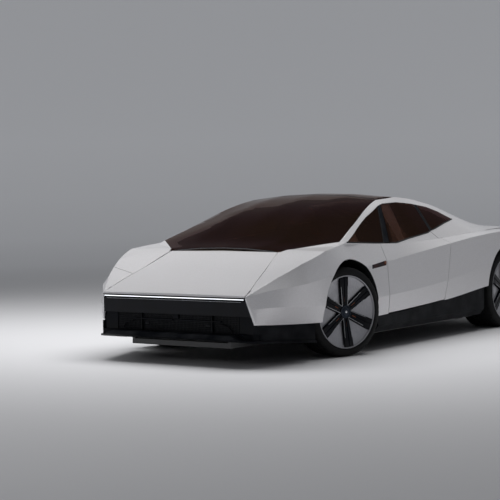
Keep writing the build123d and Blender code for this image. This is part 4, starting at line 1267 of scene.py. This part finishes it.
# finishes: 0 moulded black, 1 satin shell, 2 forged, 3 rubber, 4 copper
plenum_height = 0.735
shape = bmesh.new()
add_block(shape, (-0.270, 0.270), (1.915, 2.585), (0.6405, 0.672), 0.014, 4)
add_block(shape, (-0.060, 0.060), (1.945, 2.555), (0.668, 0.700), 0.012, 4, strip=1)
for side, _ in sides:
    sweep(shape, path((0.185, 1.935, plenum_height), (0.185, 2.565, plenum_height), side=side),
          ring(0.040, 24, 0.85), strip=1)
    duct = ((0.185, 2.565), (0.175, 2.640), (0.130, 2.700), (0.050, 2.730), (0, 2.732))
    sweep(shape, path(*((*place, plenum_height) for place in duct), side=side), ring(0.034, 20), strip=3)
    for station in (1.985 + 0.13 * k for k in range(5)):
        runner = ((0.165, 0.728), (0.120, 0.745), (0.080, 0.735), (0.052, 0.690))
        sweep(shape, path(*((x, station, z) for x, z in runner), side=side), ring(0.0165, 14), up=(0, 1, 0),
              strip=2)
    for station in (2.02, 2.48):
        add_block(shape, (0.295, 0.5735), about(station, 0.03), (0.300, 0.335), 0.006, side=side, strip=2)
        sweep(shape, path((0.43, station, 0.285), (0.43, station, 0.350), side=side), ring(0.032, 20),
              up=(0, 1, 0), strip=3)
    sweep(shape, path((0.315, 1.900, 0.560), (0.318, 2.300, 0.540), (0.330, 2.620, 0.480), (0.380, 2.800, 0.400),
                      (0.460, 2.950, 0.330), side=side), ring(0.016, 14), strip=4)
solid("power_unit_dressing", shape, "body", "metal", liner_black, satin_shell, forged, seal_rubber, copper)
row("power_unit_fins", bar_row, [path((0.302, 1.92, 0.30), (0.302, 2.58, 0.30), side=side) for side, _ in sides],
    0.022, (0.004, 0.160, 0.010), (1, 0, 0), cast_metal, "metal")
row("power_unit_bolts", head_row, [path((x, 1.93, 0.6722), (x, 2.57, 0.6722)) for x in (-0.252, -0.10, 0.10, 0.252)],
    0.08, (0.0065, 0.0065, 0.006), (0, 0, 1), forged, "metal")
shape = bmesh.new()
for side, _ in sides:
    for low in (1.855 + 0.185 * k for k in range(7)):
        add_block(shape, (0.5665, 0.5735), (low, low + 0.170), (0.245, 0.790), 0.003, side=side)
add_block(shape, (-0.560, 0.560), (2.78, 3.225), (0.1704, 0.178), 0.003)
solid("engine_bay_linings", shape, "body", "trim", carpet)

# ------------------------------------------------------------------ tail
shape = bmesh.new()
add_block(shape, (-0.226, 0.226), (3.6200, 3.6262), (0.556, 0.678), 0.002)
add_block(shape, (-0.216, 0.216), (3.6255, 3.6290), (0.566, 0.668), 0.0012, strip=1)
for x in (-0.12, 0.12):
    add_block(shape, about(x, 0.030), (3.6195, 3.6330), (0.690, 0.704), 0.003)
for x in (-0.180, 0.180):
    sweep(shape, path((x, 3.6288, 0.617), (x, 3.6300, 0.617)), ring(0.004, 12), strip=2)
solid("blank_plate", shape, "body", "trim", liner_black, plate_face, machined)
row("tail_lamp_ribs", bar_row, [path((-0.872, 3.6481, 0.813), (0.872, 3.6481, 0.813))], 0.012,
    (0.0020, 0.0205, 0.0012), (0, 1, 0), marker_lens, "tail_lens")
# Rear reflectors in the lit red lamp finish: their faint red glow is painted light, since a reflector holds no lamp.
shape = bmesh.new()
for side, _ in sides:
    add_block(shape, about(0.700, 0.060), (3.6395, 3.6440), (0.372, 0.394), 0.0015, side=side)
solid("rear_reflectors", shape, "body", "tail_lens", tail_glow)

# ------------------------------------------------------------------ underside
floor_under = 0.1298
panel_under = (0.1262, 0.1305)
# Rows of fasteners: along the car at these places across, then across it at these stations.
along_rows = (((-0.462, -0.16, 0.16, 0.462), -0.90, 0.40), ((-0.80, -0.42, 0.42, 0.80), 0.49, 2.31),
              ((-0.57, -0.19, 0.19, 0.57), 2.41, 3.20))
across_rows = ((0.76, (0.475, 1.40, 2.325)), (0.40, (-0.92, 3.215)))
lines = [path((x, start, floor_under), (x, end, floor_under)) for xs, start, end in along_rows for x in xs]
lines += [path((-half, station, floor_under), (half, station, floor_under))
          for half, stations in across_rows for station in stations]
row("undertray_fasteners", head_row, lines, 0.145, (0.0085, 0.0085, 0.0028), (0, 0, -1), forged, "metal")
# Joints of the panels: half-width and stations; raised panels: middles across, and their starts and ends.
joints = ((0.480, (-0.46, 0.446)), (0.835, (0.92, 1.40, 1.88)), (0.595, (2.354, 2.80)))
raised = (((-0.63, -0.30, 0.30, 0.63), ((0.50, 0.88), (0.96, 1.36), (1.44, 1.84), (1.92, 2.30))),
          ((-0.30, 0.0, 0.30), ((-0.88, -0.50), (-0.40, 0.38), (2.42, 2.76), (2.84, 3.18))))
shape = bmesh.new()
for half, stations in joints:
    for station in stations:
        sweep(shape, path((-half, station, floor_under), (half, station, floor_under)), flat_bar(0.005, 0.0012))
for middles, spans in raised:
    for x in middles:
        for span in spans:
            add_block(shape, about(x, 0.055), span, panel_under, 0.0035)
solid("undertray_ribs", shape, "body", "trim", liner_black)
shape = bmesh.new()
for side, _ in sides:
    for station in (0.56, 2.24):
        add_block(shape, about(0.735, 0.045), about(station, 0.06), (0.112, panel_under[1]), 0.006, 3, side=side)
        sweep(shape, path((0.735, station, 0.1125), (0.735, station, 0.1095), side=side), ring(0.024, 24),
              up=(0, 1, 0), strip=1)
solid("jacking_pads", shape, "body", "trim", seal_rubber, forged)

# ------------------------------------------------------------------ nose edges, inner mirror and seat fittings
# Bright machined strips down the wings' front edges: a painted highlight along each edge, standing in for the light
# the edge catches.
shape = bmesh.new()
for side, _ in sides:
    sweep(shape, path((0.6965, -1.0490, 0.527), (0.7175, -1.0225, 0.424), (0.7400, -0.9945, 0.322), side=side),
          ring(0.0030, 10, 0.7), up=(0, -1, 0))
solid("nose_edge_painted_highlights", shape, "body", "metal", machined, smooth=radians(60))

mirror_station = 0.60
glass_height = drop(surface("windscreen"), (0, at(mirror_station), 0.9), (0, 0, 1))[0].z
stem = ((0, 0.001), (0.012, 0.030), (0.030, 0.058))  # behind the glass, below it
shape = bmesh.new()
sweep(shape, path(*((0, mirror_station + behind, glass_height - below) for behind, below in stem)), ring(0.008, 12),
      up=(0, 1, 0))
add_block(shape, (-0.118, 0.118), (mirror_station + 0.024, mirror_station + 0.040),
          (glass_height - 0.098, glass_height - 0.040), 0.0065, 4)
add_block(shape, (-0.110, 0.110), (mirror_station + 0.0385, mirror_station + 0.0412),
          (glass_height - 0.091, glass_height - 0.047), 0.001, 1, strip=1)
solid("inner_mirror", shape, "body", "trim", satin_shell, machined)
shape = bmesh.new()
for side, _ in sides:
    for x in about(side * seat_middle, 0.045):
        sweep(shape, path((x, 1.560, 0.905), (x, 1.548, 0.868)), ring(0.006, 12), up=(0, 1, 0))
    add_block(shape, about(0.142, 0.012), (1.215, 1.255), (0.300, 0.455), 0.004, side=side)
solid("seat_fittings", shape, "body", "metal", forged)
